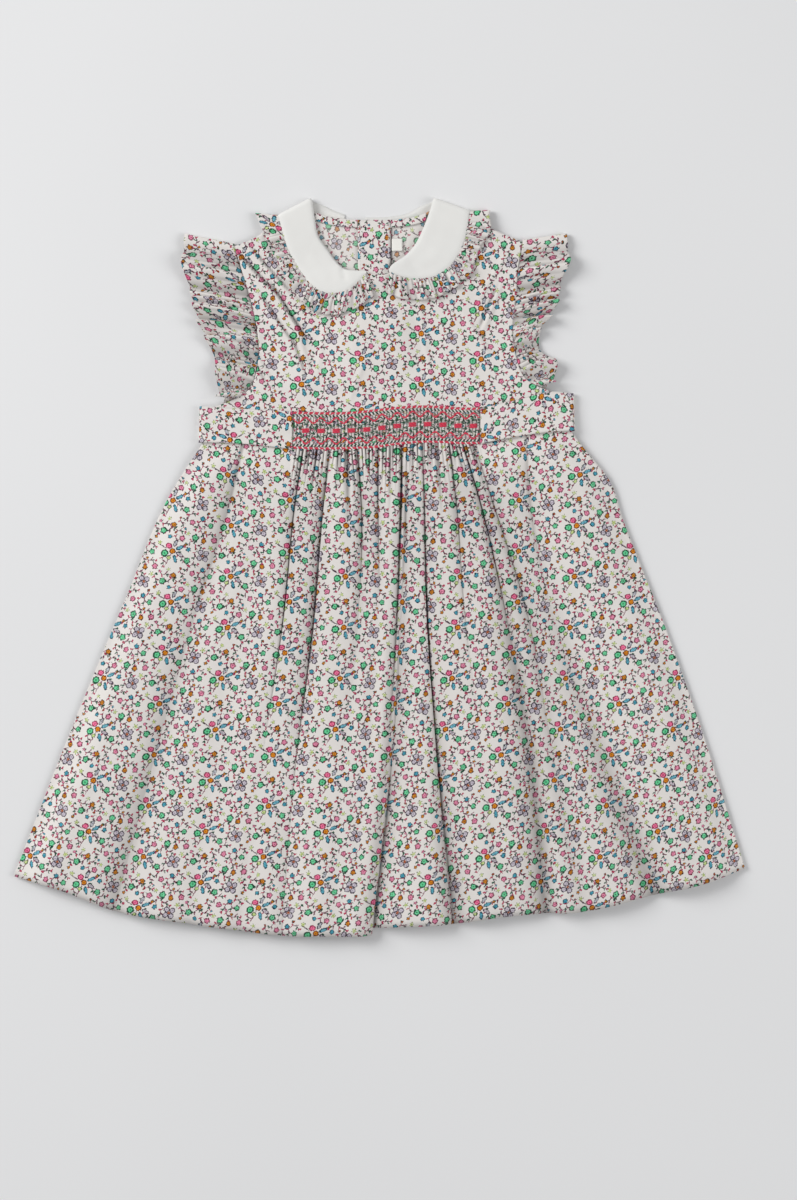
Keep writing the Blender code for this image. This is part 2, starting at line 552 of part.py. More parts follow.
def build_button(name, x, y, finish):
    """A flat round button with an eased rim, face down on the floor."""
    profile = ((0.0, 0.0), (BUTTON_RADIUS - BUTTON_RIM, 0.0), (BUTTON_RADIUS, BUTTON_RIM),
               (BUTTON_RADIUS, BUTTON_THICK - BUTTON_RIM),
               (BUTTON_RADIUS - BUTTON_RIM, BUTTON_THICK), (0.0, BUTTON_THICK))
    sides = BUTTON_SIDES
    turns = np.linspace(0.0, 2 * np.pi, sides, endpoint=False)
    rings = [np.column_stack([x + r * np.cos(turns), y + r * np.sin(turns), np.full(sides, z)])
             for r, z in profile[1:-1]]
    faces = []
    for ring in range(len(rings) - 1):
        first = [ring * sides + n for n in range(sides)]
        first.append(first[0])
        faces += strip(first, [n + sides for n in first])
    faces.append(tuple(range(sides))[::-1])
    faces.append(tuple(n + (len(rings) - 1) * sides for n in range(sides)))
    return add_piece(name, np.concatenate(rings), faces, finish)


def edges_between(table, share, columns):
    """Plan rows across a band whose table holds its two edges (x, y, x, y)."""
    ends = curve(table, share)
    across = np.linspace(0.0, 1.0, columns + 1)[None, :, None]
    return ends[:, None, :2] * (1 - across) + ends[:, None, 2:] * across


def build_collar(name, front_table, back_table, finish):
    """Half of the collar: over the front from the centre, round the shoulder, under the back."""
    front, back = (edges_between(table, np.linspace(0.0, 1.0, rows), COLLAR_COLUMNS)
                   for table, rows in zip((front_table, back_table), COLLAR_ROWS))
    middle = WHITE / 2
    front_height = bodice_top(front[..., 0], front[..., 1]) + LIE_GAP + middle
    back_height = np.full(back.shape[:2], middle)
    outward = outward_of(front[-1], front[0].mean(axis=0))
    grid = over_fold(front, front_height, back, back_height, outward, FOLD_STEPS)
    return folded_wall(name, oriented(grid), WHITE, finish)


def oriented(grid):
    """The grid turned so that its front faces up."""
    across = grid[1, -1] - grid[1, 0]
    along = grid[3, 0] - grid[1, 0]
    return grid if np.cross(across, along)[2] > 0 else grid[:, ::-1]


def waves(count, share):
    """Uneven gathers along a frill, from 0 to 1."""
    def sway(size, cycles, phase):
        return size * np.sin(2 * np.pi * share * cycles + phase)

    drift = sway(*WAVE_DRIFT)
    swell = 1.0 - WAVE_SWELL[0] + sway(*WAVE_SWELL)
    return swell * (0.5 - 0.5 * np.cos(2 * np.pi * (count * share + drift)))


def frill_grid(seams, edges, levels, rise, count, columns, outward=None):
    """A frill from its seam to its free edge, over the fold at the shoulder.

    seams and edges are pairs of tables, front and back; levels the heights of its middle.
    """
    share = np.linspace(0.0, 1.0, FRILL_WAVE_POINTS * count + 1)
    across = np.linspace(0.0, 1.0, columns + 1)[None, :, None]
    plans = []
    for seam, edge, shares in ((seams[0], edges[0], share), (seams[1], edges[1], share[::2])):
        inner, outer = seam(shares), curve(edge, shares)
        plans.append(inner[:, None] * (1 - across) + outer[:, None] * across)
    front, back = plans
    gather = rise * across[..., 0] * (waves(count, share) * ramp((1 - share) / FRILL_END))[:, None]
    front_height = levels[0](front[..., 0], front[..., 1]) + gather
    back_height = np.full(back.shape[:2], levels[1])
    if outward is None:
        outward = outward_of(front[-1], front[0].mean(axis=0))
    return over_fold(front, front_height, back, back_height, outward, FOLD_STEPS)


def moved_out(points, away):
    """Plan points moved sideways from a line of them, away from the middle of the piece."""
    run = np.gradient(points, axis=0)
    normal = np.column_stack([run[:, 1], -run[:, 0]])
    normal /= np.linalg.norm(normal, axis=1, keepdims=True)
    return points + away * normal


def build_collar_frill(name, collars, edges, turn, finish):
    """Gathered frill sewn round a collar half."""
    seams = [lambda share, table=table, sign=sign: moved_out(curve(table, share)[:, 2:], sign * FRILL_SEAM)
             for table, sign in zip(collars, (turn, -turn))]
    level = lambda x, y: bodice_top(x, y) + LIE_GAP + LAWN / 2
    fold = np.reshape(collars[0][-1], (2, 2))
    grid = frill_grid(seams, edges, (level, LAWN / 2), COLLAR_FRILL_RISE,
                      COLLAR_FRILL_WAVES, COLLAR_FRILL_COLUMNS,
                      outward_of(fold, np.array(collars[0][0][:2])))
    return folded_wall(name, oriented(grid), LAWN, finish)


def build_arm_frill(name, armhole, edge, turn, finish):
    """Gathered frill round an armhole: front from the underarm up, back from the shoulder down."""
    panel_rows = np.linspace(0.0, 1.0, BODICE_ROWS + 1)[ARM_FRILL_START:]
    panel_edge = curve(armhole, panel_rows)

    def front_seam(share):
        place = share * (len(panel_rows) - 1)
        line = np.column_stack([np.interp(place, range(len(panel_rows)), side)
                                for side in panel_edge.T])
        return moved_out(line, turn * FRILL_SEAM)

    def back_seam(share):
        return front_seam((1 - share)[::-1])[::-1]

    narrow = [(x - turn * ARM_BACK_INSET if row < len(edge) - 1 else x, y)
              for row, (x, y) in enumerate(edge)]
    level = lambda x, y: front_level(x, y) + LAWN / 2
    grid = frill_grid((front_seam, back_seam), (edge, narrow[::-1]), (level, LAWN / 2),
                      ARM_FRILL_RISE, ARM_FRILL_WAVES, ARM_FRILL_COLUMNS)
    return folded_wall(name, oriented(grid), LAWN, finish)


def build_sash(name, front_table, tie_table, finish):
    """A sash: over the waistband from the smocking, round the side, and along under the back."""
    def strip_plan(table, count):
        rows = curve(table, np.linspace(0.0, 1.0, count))
        x, high, low = rows.T
        across = np.linspace(0.0, 1.0, SASH_POINTS)[None]
        y = low[:, None] + (high - low)[:, None] * across
        return np.dstack([np.broadcast_to(x[:, None], y.shape), y])

    front, tie = strip_plan(front_table, SASH_ROWS), strip_plan(tie_table, TIE_ROWS)
    inward = np.sign(tie[-1, 0, 0] - tie[0, 0, 0])
    slant = np.linspace(0.0, 1.0, TIE_ROWS)[:, None] ** 3 * np.linspace(0.0, 1.0, SASH_POINTS)
    tie[..., 0] += inward * TIE_POINT * slant
    top = front_level(front[..., 0], front[..., 1]) + TURN + LAWN / 2
    outward = outward_of(front[-1], front[0].mean(axis=0))
    grid = over_fold(front, top, tie, np.full(tie.shape[:2], LAWN / 2), outward,
                     FOLD_STEPS)
    return folded_wall(name, oriented(grid), LAWN, finish)


def clear_scene():
    """Remove whatever the scene starts with."""
    for item in list(bpy.data.objects):
        bpy.data.objects.remove(item, do_unlink=True)


def main():
    """Build every piece of the dress."""
    clear_scene()
    lawn = add_finish("printed_lawn", (0.74, 0.71, 0.70), 0.85)
    smocked = add_finish("smocked_lawn", (0.62, 0.45, 0.44), 0.85)
    white = add_finish("white_cotton", (0.90, 0.90, 0.88), 0.75)
    pearl = add_finish("pearl_button", (0.88, 0.86, 0.82), 0.30)
    build_skirt_back(lawn)
    build_skirt_front(lawn)
    build_waistband(smocked)
    build_bodice_front(lawn)
    build_backs(lawn)
    build_back_opening(lawn, white, pearl)
    build_collar("collar_left", COLLAR_LEFT, COLLAR_LEFT_BACK, white)
    build_collar("collar_right", COLLAR_RIGHT, COLLAR_RIGHT_BACK, white)
    build_collar_frill("collar_frill_left", (COLLAR_LEFT, COLLAR_LEFT_BACK),
                       (FRILL_WIDE_LEFT, FRILL_WIDE_LEFT_BACK), -1, lawn)
    build_collar_frill("collar_frill_right", (COLLAR_RIGHT, COLLAR_RIGHT_BACK),
                       (FRILL_WIDE_RIGHT, FRILL_WIDE_RIGHT_BACK), 1, lawn)
    build_arm_frill("armhole_frill_left", ARMHOLE_LEFT, ARM_EDGE_LEFT, -1, lawn)
    build_arm_frill("armhole_frill_right", ARMHOLE_RIGHT, ARM_EDGE_RIGHT, 1, lawn)
    build_sash("sash_left", SASH_LEFT, TIE_LEFT, lawn)
    build_sash("sash_right", SASH_RIGHT, TIE_RIGHT, lawn)


main()
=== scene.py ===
"""Dressed scene of a toddler's printed cotton dress, laid flat on its back.

Each sub-assembly is a class that builds its thin cloth shells in the frame's own metres, over the
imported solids. Its tables are in millimetres. +Y runs from hem to collar and +Z up from the floor.
"""
import logging
from dataclasses import dataclass
from enum import Enum
from functools import partial
from typing import Any, Callable, Iterable, Mapping, Sequence

import bpy
import numpy as np
from bpy.types import Material, Mesh, Node, NodeSocket, NodeTree, Object
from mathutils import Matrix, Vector


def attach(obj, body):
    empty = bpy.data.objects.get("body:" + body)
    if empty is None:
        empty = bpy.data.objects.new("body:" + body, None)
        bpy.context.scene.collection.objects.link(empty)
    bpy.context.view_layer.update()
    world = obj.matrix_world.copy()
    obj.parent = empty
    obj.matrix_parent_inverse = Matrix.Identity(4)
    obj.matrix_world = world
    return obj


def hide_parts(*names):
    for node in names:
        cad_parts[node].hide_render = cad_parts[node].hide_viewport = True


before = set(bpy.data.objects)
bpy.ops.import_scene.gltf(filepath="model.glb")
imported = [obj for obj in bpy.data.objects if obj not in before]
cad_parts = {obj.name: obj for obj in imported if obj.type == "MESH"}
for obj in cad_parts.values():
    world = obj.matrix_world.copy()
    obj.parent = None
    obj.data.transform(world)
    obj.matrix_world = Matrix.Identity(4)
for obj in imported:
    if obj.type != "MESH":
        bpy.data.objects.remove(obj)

LOG = logging.getLogger("toddler_dress")
MM = 0.001
BODY = "root"
Row = Sequence[float]
Table = Sequence[Row]
Array = np.ndarray
Edge = Callable[[Array], Array]
Grid = tuple[Array, Array]

# ---- Cloth: what one packed layer measures, and the clearances between layers ----
LAWN = 1.2
WHITE = 1.4
BINDING = 1.0
GAP = 0.3
LIE_GAP = 0.5
TURN = LAWN + GAP


# ------------ curves and patches
def ramp(value: Any) -> Array:
    """Smooth step from 0 to 1 as the value goes from 0 to 1."""
    value = np.clip(value, 0.0, 1.0)
    return value * value * (3.0 - 2.0 * value)


def shares(count: int) -> Array:
    """Shares from 0 to 1, evenly apart."""
    return np.linspace(0.0, 1.0, count)


def over(value: Any, low: float, high: float, run: float) -> Array:
    """1 between low and high, falling to 0 over the run on each side."""
    return ramp(1 + (value - low) / run) * ramp(1 + (high - value) / run)


def blend(start: Array, end: Array, share: Array) -> Array:
    """Rows of points across a strip, from its start line to its end line."""
    share = share[None, :, None]
    return start[:, None] * (1 - share) + end[:, None] * share


def hermite(points: Array, knots: Array, place: Array) -> Array:
    """Smooth curve through points at given knots.

    Args:
        points: one row for each knot.
        knots: rising numbers.
        place: where to read the curve, in the knots' own measure.

    Returns:
        One row for each place.
    """
    slopes = np.gradient(points, knots, axis=0)
    place = np.clip(place, knots[0], knots[-1])
    span = np.clip(np.searchsorted(knots, place, side="right") - 1, 0, len(knots) - 2)
    width = (knots[span + 1] - knots[span])[:, None]
    local = (place - knots[span])[:, None] / width
    start, end = points[span], points[span + 1]
    rise, fall = slopes[span] * width, slopes[span + 1] * width
    return (start * (1 + 2 * local) * (1 - local) ** 2 + rise * local * (1 - local) ** 2
            + end * local ** 2 * (3 - 2 * local) + fall * local ** 2 * (local - 1))


def curve(table: Table, share: Any) -> Array:
    """Points on a smooth curve.

    Args:
        table: rows that the curve goes through; each may hold more than one point.
        share: where to read it, as shares of its length.

    Returns:
        One row for each share.
    """
    points = np.asarray(table, float)
    steps = np.linalg.norm(np.diff(points, axis=0), axis=1)
    knots = np.concatenate([[0.0], np.cumsum(steps)]) / steps.sum()
    return hermite(points, knots, np.clip(np.asarray(share, float), 0.0, 1.0))


def chain(tables: Sequence[Table], breaks: Row) -> Edge:
    """One edge out of several curves.

    Args:
        tables: the curves in order.
        breaks: shares of the edge where each starts, and 1.

    Returns:
        A function that gives points at shares of the whole edge.
    """
    def along(share: Array) -> Array:
        """Points at rising shares."""
        number = np.clip(np.searchsorted(breaks, share + 1e-9, side="right") - 1, 0, len(tables) - 1)
        local = (share - np.take(breaks, number)) / np.take(np.diff(breaks), number)
        return np.concatenate([curve(table, local[number == n]) for n, table in enumerate(tables)])
    return along


def height_at(table: Table, x: Any) -> Array:
    """The y of a left-to-right curve at each x."""
    points = curve(table, shares(240))
    return np.interp(x, points[:, 0], points[:, 1])


def coons(bottom: Edge, top: Edge, left: Edge, right: Edge, u: Array, v: Array) -> Array:
    """A plan patch between four edges.

    Args:
        bottom, top, left, right: each gives points at shares along it.
        u, v: the patch's columns and rows, as shares.

    Returns:
        Plan points (rows, columns, 2).
    """
    low, high = bottom(u)[None], top(u)[None]
    near, far = left(v)[:, None], right(v)[:, None]
    u, v = u[None, :, None], v[:, None, None]
    corners = ((1 - u) * (1 - v) * low[:, :1] + u * (1 - v) * low[:, -1:]
               + (1 - u) * v * high[:, :1] + u * v * high[:, -1:])
    return (1 - v) * low + v * high + (1 - u) * near + u * far - corners


def crease(x: Array, y: Array, line: Row, width: float) -> Array:
    """A soft straight line in the cloth.

    Args:
        x, y: plan points in millimetres.
        line: where it starts and ends, x, y, x, y.
        width: how far it reaches to each side.

    Returns:
        1 along the line, dying away to its sides and ends.
    """
    start, end = np.array(line[:2], float), np.array(line[2:], float)
    run = end - start
    length = np.linalg.norm(run)
    along = ((x - start[0]) * run[0] + (y - start[1]) * run[1]) / length ** 2
    aside = ((x - start[0]) * run[1] - (y - start[1]) * run[0]) / length
    return np.exp(-(aside / width) ** 2) * ramp((along + 0.1) / 0.35) * ramp((1.1 - along) / 0.35)


def creased(x: Array, y: Array, rows: Table) -> Array:
    """Heights of creases together; a row holds x, y, x, y, rise and half width."""
    return sum(rise * crease(x, y, line, width) for *line, rise, width in rows)


def crumple(x: Array, y: Array, size: float, seed: int) -> Array:
    """Soft unevenness of handled cloth.

    Args:
        x, y: plan points in millimetres.
        size: rough width of a hollow in millimetres.
        seed: picks one of the possible surfaces.

    Returns:
        Heights from about -1 to 1, of the same shape as x.
    """
    source = np.random.default_rng(seed)
    total = np.zeros(np.shape(x))
    for _ in range(7):
        turn, phase = source.uniform(0.0, 2 * np.pi, 2)
        wave = 2 * np.pi / (size * source.uniform(0.7, 2.2))
        total = total + np.sin(wave * (x * np.cos(turn) + y * np.sin(turn)) + phase)
    return total / 4.0


# ------------ levels of the layers
class Layers:
    """Heights of the dress's layers where they lie on each other, in millimetres.

    Each method takes plan points x and y and gives heights of the same shape.
    """

    neck_rest, neck_ramp = 209, 30
    tie_rest, tie_ramp = (80, 128), 28
    band_rest, band_ramp, front_band = (-17.5, 10), 28, 120
    puff, puff_x, puff_y = 1.2, (-50, 55, 30), (150, 190, 35)
    # from (x, y) to (x, y), rise, half width
    creases = ((-105, 226, -52, 154, 1.5, 5), (-97, 183, -86, 160, 1.2, 5),
               (-20, 176, 24, 168, 0.7, 10), (62, 176, 84, 140, 0.9, 7),
               (-60, 150, -52, 122, 0.8, 8))
    # narrow pressed lines over those: the same columns, a rise under 0 is a hollow
    lines = ((-107, 229, -74, 194, 1.8, 1.5), (-104, 228, -72, 194, -1.6, 1),
             (-97, 232, -64, 196, 1.6, 1.4), (-94, 231, -62, 195, -1.2, 0.9),
             (-80, 205, -54, 162, 2, 1.4), (-78, 204, -51, 161, -1.8, 1),
             (-86, 196, -60, 158, -1.3, 0.9), (-60, 172, -50, 140, 1.3, 1.4),
             (-63, 166, -53, 138, -1.2, 0.9), (-93, 160, -78, 132, 1.4, 1.6),
             (-95, 158, -81, 131, -1, 1), (88, 205, 74, 168, 1.4, 1.8),
             (85, 203, 71, 170, -1.1, 1), (60, 182, 80, 150, 1.2, 1.6),
             (92, 226, 70, 190, 1, 1.5), (-34, 200, -46, 132, 0.7, 2.2),
             (28, 192, 38, 126, 0.7, 2.4), (-10, 150, -22, 118, 0.7, 2))
    # unevenness of the bodice: height, size and seed; painted shade of a hollow, and its most
    uneven, hollow_shade, hollow_most = (0.35, 26, 4), 0.5, 0.8

    @classmethod
    def back(cls, x: Array, y: Array) -> Array:
        """Underside of the back: on the floor, or lifted by what lies under it."""
        collar = ramp(1 + (y - cls.neck_rest) / cls.neck_ramp)
        ties = over(y, *cls.tie_rest, cls.tie_ramp)
        above_ties = ramp(1 + (y - cls.tie_rest[0]) / cls.tie_ramp)
        buttons = over(x, *cls.band_rest, cls.band_ramp) * above_ties
        return TURN * np.maximum(np.maximum(collar, ties), buttons)

    @classmethod
    def front(cls, x: Array, y: Array) -> Array:
        """Underside of the front, one layer above the back and two above the button band."""
        band = over(x, *cls.band_rest, cls.band_ramp) * ramp(1 + (y - cls.front_band) / cls.tie_ramp)
        return cls.back(x, y) + TURN + TURN * band

    @classmethod
    def bodice(cls, x: Array, y: Array) -> Array:
        """Upper face of the front bodice, without its narrow pressed lines."""
        puffed = cls.puff * over(x, *cls.puff_x) * over(y, *cls.puff_y)
        return cls.front(x, y) + puffed + LAWN + creased(x, y, cls.creases)

    @classmethod
    def pressed(cls, x: Array, y: Array) -> Grid:
        """Upper face of the front bodice as it shows, and the painted shade in its pressed hollows."""
        height, *kind = cls.uneven
        level = cls.bodice(x, y) + creased(x, y, cls.lines) + height * crumple(x, y, *kind)
        hollow = creased(x, y, [row for row in cls.lines if row[4] < 0])
        # Painted shade in the hollows of the pressed lines.
        return level, np.clip(-cls.hollow_shade * hollow, 0.0, cls.hollow_most)


# ------------ finishes
def linear(colour: str) -> tuple[float, float, float, float]:
    """A linear colour from an sRGB hex value."""
    parts = [int(colour[n:n + 2], 16) / 255 for n in (1, 3, 5)]
    red, green, blue = (p / 12.92 if p <= 0.04045 else ((p + 0.055) / 1.055) ** 2.4 for p in parts)
    return red, green, blue, 1.0


def add_node(tree: NodeTree, kind: str, *sources: Any, out: int = 0, **settings: Any) -> NodeSocket:
    """Add one shader node.

    Args:
        tree: the material's or group's nodes.
        kind: the node's type without its ShaderNode prefix, and its operation after a space.
        sources: sockets or values for its inputs in order, None for one left as it is.
        out: which of its outputs is wanted.
        settings: the node's own properties, and inputs by name where the name has a capital.

    Returns:
        The output.
    """
    name, _, operation = kind.partition(" ")
    node = tree.nodes.new("ShaderNode" + name)
    if operation:
        node.operation = operation
    for key in (key for key in settings if key[0].islower()):
        setattr(node, key, settings[key])
    fed = list(zip([socket for socket in node.inputs if socket.enabled], sources))
    fed += [(node.inputs[key], settings[key]) for key in settings if key[0].isupper()]
    for socket, source in fed:
        if isinstance(source, NodeSocket):
            tree.links.new(source, socket)
        elif source is not None:
            socket.default_value = source
    return [socket for socket in node.outputs if socket.enabled][out]


def set_stops(shade: NodeSocket, stops: Iterable[tuple[float, Any]], step: bool = False) -> NodeSocket:
    """Give a colour ramp its stops, each a place and a hex colour or a grey share.

    Args:
        shade: the ramp's output.
        stops: its stops from left to right.
        step: whether each colour holds up to the next stop.

    Returns:
        The same output.
    """
    stops, band = list(stops), shade.node.color_ramp
    band.interpolation = "CONSTANT" if step else "LINEAR"
    while len(band.elements) < len(stops):
        band.elements.new(1.0)
    for element, (place, colour) in zip(band.elements, stops):
        element.position = place
        element.color = linear(colour) if isinstance(colour, str) else (colour, colour, colour, 1.0)
    return shade


def painted(tree: NodeTree, under: Any, colour: Any, share: Any) -> NodeSocket:
    """Print a share of one colour, a socket, a linear colour or a hex value, over another."""
    colour = linear(colour) if isinstance(colour, str) else colour
    return add_node(tree, "Mix", share, under, colour, data_type="RGBA")


class Flower(Enum):
    """Kinds of motif in the small floral print."""

    BLOSSOM = "round blossom"
    FOUR_PETAL = "four-petalled flower"
    POSY = "posy of several flowers"
    STAR = "pointed star flower"
    SPRIG = "curved stem with leaves"


GREEN, PINK, ORANGE, BLUE, RUST = 0.1, 0.3, 0.5, 0.7, 0.9
# The repeat, charted one by one. How far each kind reaches from its middle in millimetres, and its
# rows: x, y, tint, size in millimetres or as a share, and turn.
MOTIFS: Mapping[Flower, tuple[float, Table]] = {
    Flower.POSY: (9, ((10.5, 11, 0, 1.12, 0.1),)),
    Flower.FOUR_PETAL: (4.5, ((33, 7.5, 0, 1, 0.2),)),
    Flower.BLOSSOM: (3, ((21.5, 4, GREEN, 2.6, 0.5), (27.5, 20.5, GREEN, 2.7, 1.2),
        (4, 26, GREEN, 2.6, 0.2), (38.5, 29, GREEN, 2.2, 2), (18, 20, PINK, 2.3, 0.1),
        (41, 18.5, PINK, 2.4, 0.9), (25.5, 31.5, PINK, 2.2, 1.4), (33.5, 18, ORANGE, 2.1, 0.3),
        (12, 30, ORANGE, 2.2, 1.1), (41.5, 3.5, ORANGE, 1.3, 0),
        (22.5, 12, BLUE, 1.9, 0.4), (33, 34, BLUE, 1.9, 1), (9, 21.5, BLUE, 1.7, 0),
        (17, 35, RUST, 1, 0), (28, 12.5, RUST, 0.9, 0), (35, 24.5, ORANGE, 1.1, 0),
        (13.5, 24.5, RUST, 0.9, 0), (2, 33, PINK, 1.2, 0), (20.5, 27, BLUE, 1, 0),
        (31, 27.5, PINK, 1.1, 0), (20.5, 15.5, ORANGE, 1.1, 0), (37.5, 1, RUST, 0.9, 0))),
    Flower.STAR: (3, ((38.5, 13, 0, 2.1, 0.4), (1.5, 17.5, 0, 1.9, 1.1),
        (22.5, 23.5, 0, 1.8, 0), (8.5, 34.5, 0, 1.7, 0.7))),
    Flower.SPRIG: (5.5, tuple((x, y, 0, 1, turn) for x, y, turn in (
        (17, 6.5, 1.2), (27, 7.5, 2.1), (38, 22.8, 0.3), (23, 16.5, 2.8), (29.5, 29.5, 2.3),
        (6, 30.8, 0.4), (4, 4, 1.7), (39, 34.5, 0.9), (13.5, 19.5, 1.9), (30, 14.5, 0.7),
        (18, 31, 1.4), (8.5, 26.5, 2.9), (16.5, 25.5, 0.5), (25.5, 1, 0.2), (32.5, 23.5, 1.5),
        (42, 9, 1.5), (34.5, 30, 1.9), (21.5, 34.5, 2.7)))),
}


@dataclass
class FloralPrint:
    """A small floral repeat in half drop, printed on lawn, charted one by one.

    Screen-printed motifs with a thin dark outline: they look crisp, and a little uneven where
    the ink meets the weave. Its nodes are one group, and each method that prints a kind of motif
    takes the colour so far and gives the colour with that kind printed over it.
    """

    width: float = 43.0
    height: float = 36.5
    ground: str = "#E6E1DC"
    ink: str = "#4A3440"
    petals: tuple[str, ...] = ("#7BE3A8", "#F79AB8", "#E08E2C", "#52AFC6", "#B5502A")
    outlines: tuple[str, ...] = ("#12382A", "#6A1A38", "#3F220E", "#12303C", "#431A12")
    # Ink spreads unevenly into the threads, by up to 0.3 mm: the noise's weight and scale.
    spread: float = 1.6
    spread_scale: float = 0.9
    # the sprigs: how their stems wave, reach and thicken; their leaves' step, offset and half sizes
    stem_turns: float = 0.75
    stem_sway: float = 0.7
    stem_half: float = 4.6
    stem_thick: float = 0.3
    leaf_step: float = 1.9
    leaf_out: float = 0.95
    leaf_lean: float = 0.5
    leaf: Row = (0.56, 1.2)
    leaf_hues: Table = ((0.0, "#6A2A42"), (0.3, "#24503A"), (0.5, "#2E262C"), (0.7, "#B03254"),
                        (0.85, "#8F4024"))
    # how a lobed flower's edge waves and how far out it lies, as shares of its size
    star_edge: Row = (0.34, 0.66)
    blossom_edge: Row = (0.11, 0.92)
    petal_half: float = 2.05
    eye_half: float = 0.9
    # reach in a shape and the outline's share there
    star_dark: Table = ((0.0, 0.9), (0.2, 0.7), (0.3, 0.0), (0.62, 0.0), (0.8, 0.9))
    blossom_dark: Table = ((0.0, 0.9), (0.16, 0.85), (0.24, 0.0), (0.4, 0.05), (0.5, 0.8),
                           (0.6, 0.05), (0.64, 0.0), (0.71, 1.0))
    petal_dark: Table = ((0.0, 0.7), (0.18, 0.5), (0.3, 0.0), (0.62, 0.05), (0.71, 1.0))
    posy_dark: Table = ((0.0, 0.8), (0.2, 0.6), (0.3, 0.05), (0.58, 0.05), (0.69, 1.0))
    # what a posy holds: x, y, half length, half width, turn, fill, outline
    posy: Table = (
        (-1.8, -5.6, 4.4, 0.34, 1.2, "#7A3A50", "#7A3A50"),
        (-6.4, 2.6, 3, 0.34, 2.7, "#4A3440", "#4A3440"),
        (4.9, 2.6, 2.8, 1.25, 0.5, "#74B9CB", "#1B4656"),
        (5.3, -1.7, 2.7, 1.15, -0.4, "#CFC6CC", "#4A3C4C"),
        (2.6, -4.9, 2.7, 1.2, -1.2, "#5FB0C4", "#1B4656"),
        (1.9, 5.2, 2.6, 1.1, 1.2, "#C9CBD0", "#3F3A48"),
        (-1.6, -4.3, 1.5, 1.3, 0.3, "#D5E59A", "#4A5A34"),
        (-4.6, -1.7, 2.5, 2.3, 0.3, "#6AD79A", "#1D5238"),
        (-2.3, 3.2, 2.2, 1.9, 0, "#F5789F", "#8E2A4C"),
        (0.5, 0, 2, 1.9, 0, "#E28C1E", "#6E3410"),
    )

    def __post_init__(self) -> None:
        """Print the repeat: the group takes a place on the cloth in millimetres."""
        tree = bpy.data.node_groups.new("small floral print", "ShaderNodeTree")
        tree.interface.new_socket("Place", in_out="INPUT", socket_type="NodeSocketVector")
        tree.interface.new_socket("Color", in_out="OUTPUT", socket_type="NodeSocketColor")
        self.tree, self.put = tree, partial(add_node, tree)
        put = self.put
        start = tree.nodes.new("NodeGroupInput").outputs[0]
        spread = put("TexNoise", start, Scale=self.spread_scale, Detail=1.0,
                     noise_dimensions="2D", out=1)
        spread = put("VectorMath SUBTRACT", spread, (0.5, 0.5, 0.5))
        place = put("VectorMath MULTIPLY_ADD", spread, (self.spread, self.spread, 0.0), start)
        column = put("Math MULTIPLY", put("SeparateXYZ", place), 1 / self.width)
        drop = put("VectorMath SCALE", (self.width, self.height / 2, 0.0), put("Math FLOOR", column))
        self.place = put("VectorMath SUBTRACT", place, drop)
        colour: Any = linear(self.ground)
        for layer in (self.sprigs, self.stars, self.blossoms, self.four_petals, self.posies):
            colour = layer(colour)
        tree.links.new(colour, tree.nodes.new("NodeGroupOutput").inputs[0])

    def nearest(self, kind: Flower) -> tuple[Any, Any, Any]:
        """Nodes that find the nearest motif of a kind.

        Args:
            kind: which motifs to look among; those near a column's edge are looked for in the
                next column too.

        Returns:
            Sockets with the turned offset from that motif's middle, its tint and its size.
        """
        put, half = self.put, (1000.0, self.height / 2, 1000.0)
        reach, rows = MOTIFS[kind]
        copies = [(x + column * self.width, (y + column * self.height / 2) % self.height, *facts)
                  for x, y, *facts in rows for column in (-1, 0, 1)
                  if -reach < x + column * self.width < self.width + reach]
        best, offset, facts = None, None, None
        for x, y, *mine in copies:
            away = put("VectorMath SUBTRACT", self.place, (x, y, 0.0))
            away = put("VectorMath WRAP", away, half, tuple(-h for h in half))
            distance = put("VectorMath LENGTH", away)
            if best is None:
                best, offset, facts = distance, away, put("CombineXYZ", *mine)
                continue
            closer = put("Math LESS_THAN", distance, best)
            best = put("Math MINIMUM", distance, best)
            offset = put("Mix", closer, offset, away, data_type="VECTOR")
            facts = put("Mix", closer, facts, tuple(mine), data_type="VECTOR")
        tint, size, turn = put("SeparateXYZ", facts).node.outputs
        return put("VectorRotate", offset, None, turn, rotation_type="Z_AXIS"), tint, size

    def lobed(self, offset: Any, size: Any, lobe: float, middle: float) -> Any:
        """Reach in a five-lobed flower.

        Args:
            offset, size: sockets with the place from the flower's middle, and its size.
            lobe, middle: how its edge waves and how far out it lies, as shares of its size.

        Returns:
            Socket, 0 at the middle and 1 at the edge.
        """
        put = self.put
        x, y, _ = put("SeparateXYZ", offset).node.outputs
        wave = put("Math COSINE", put("Math MULTIPLY", put("Math ARCTAN2", y, x), 5.0))
        edge = put("Math MULTIPLY", put("Math MULTIPLY_ADD", wave, lobe, middle), size)
        return put("Math DIVIDE", put("VectorMath LENGTH", offset), edge)

    def outlined(self, under: Any, reach: Any, fill: Any, outline: Any, dark: Table) -> Any:
        """Print one shape whose edge is at reach 1.

        Args:
            under: the colour so far.
            reach: socket, 0 at the shape's middle and 1 at its edge.
            fill, outline: the shape's two colours, sockets or hex values.
            dark: reach and the outline's share there.

        Returns:
            Socket with the colour.
        """
        fill = linear(fill) if isinstance(fill, str) else fill
        colour = painted(self.tree, fill, outline, set_stops(self.put("ValToRGB", reach), dark))
        return painted(self.tree, under, colour, self.put("Math LESS_THAN", reach, 1.0))

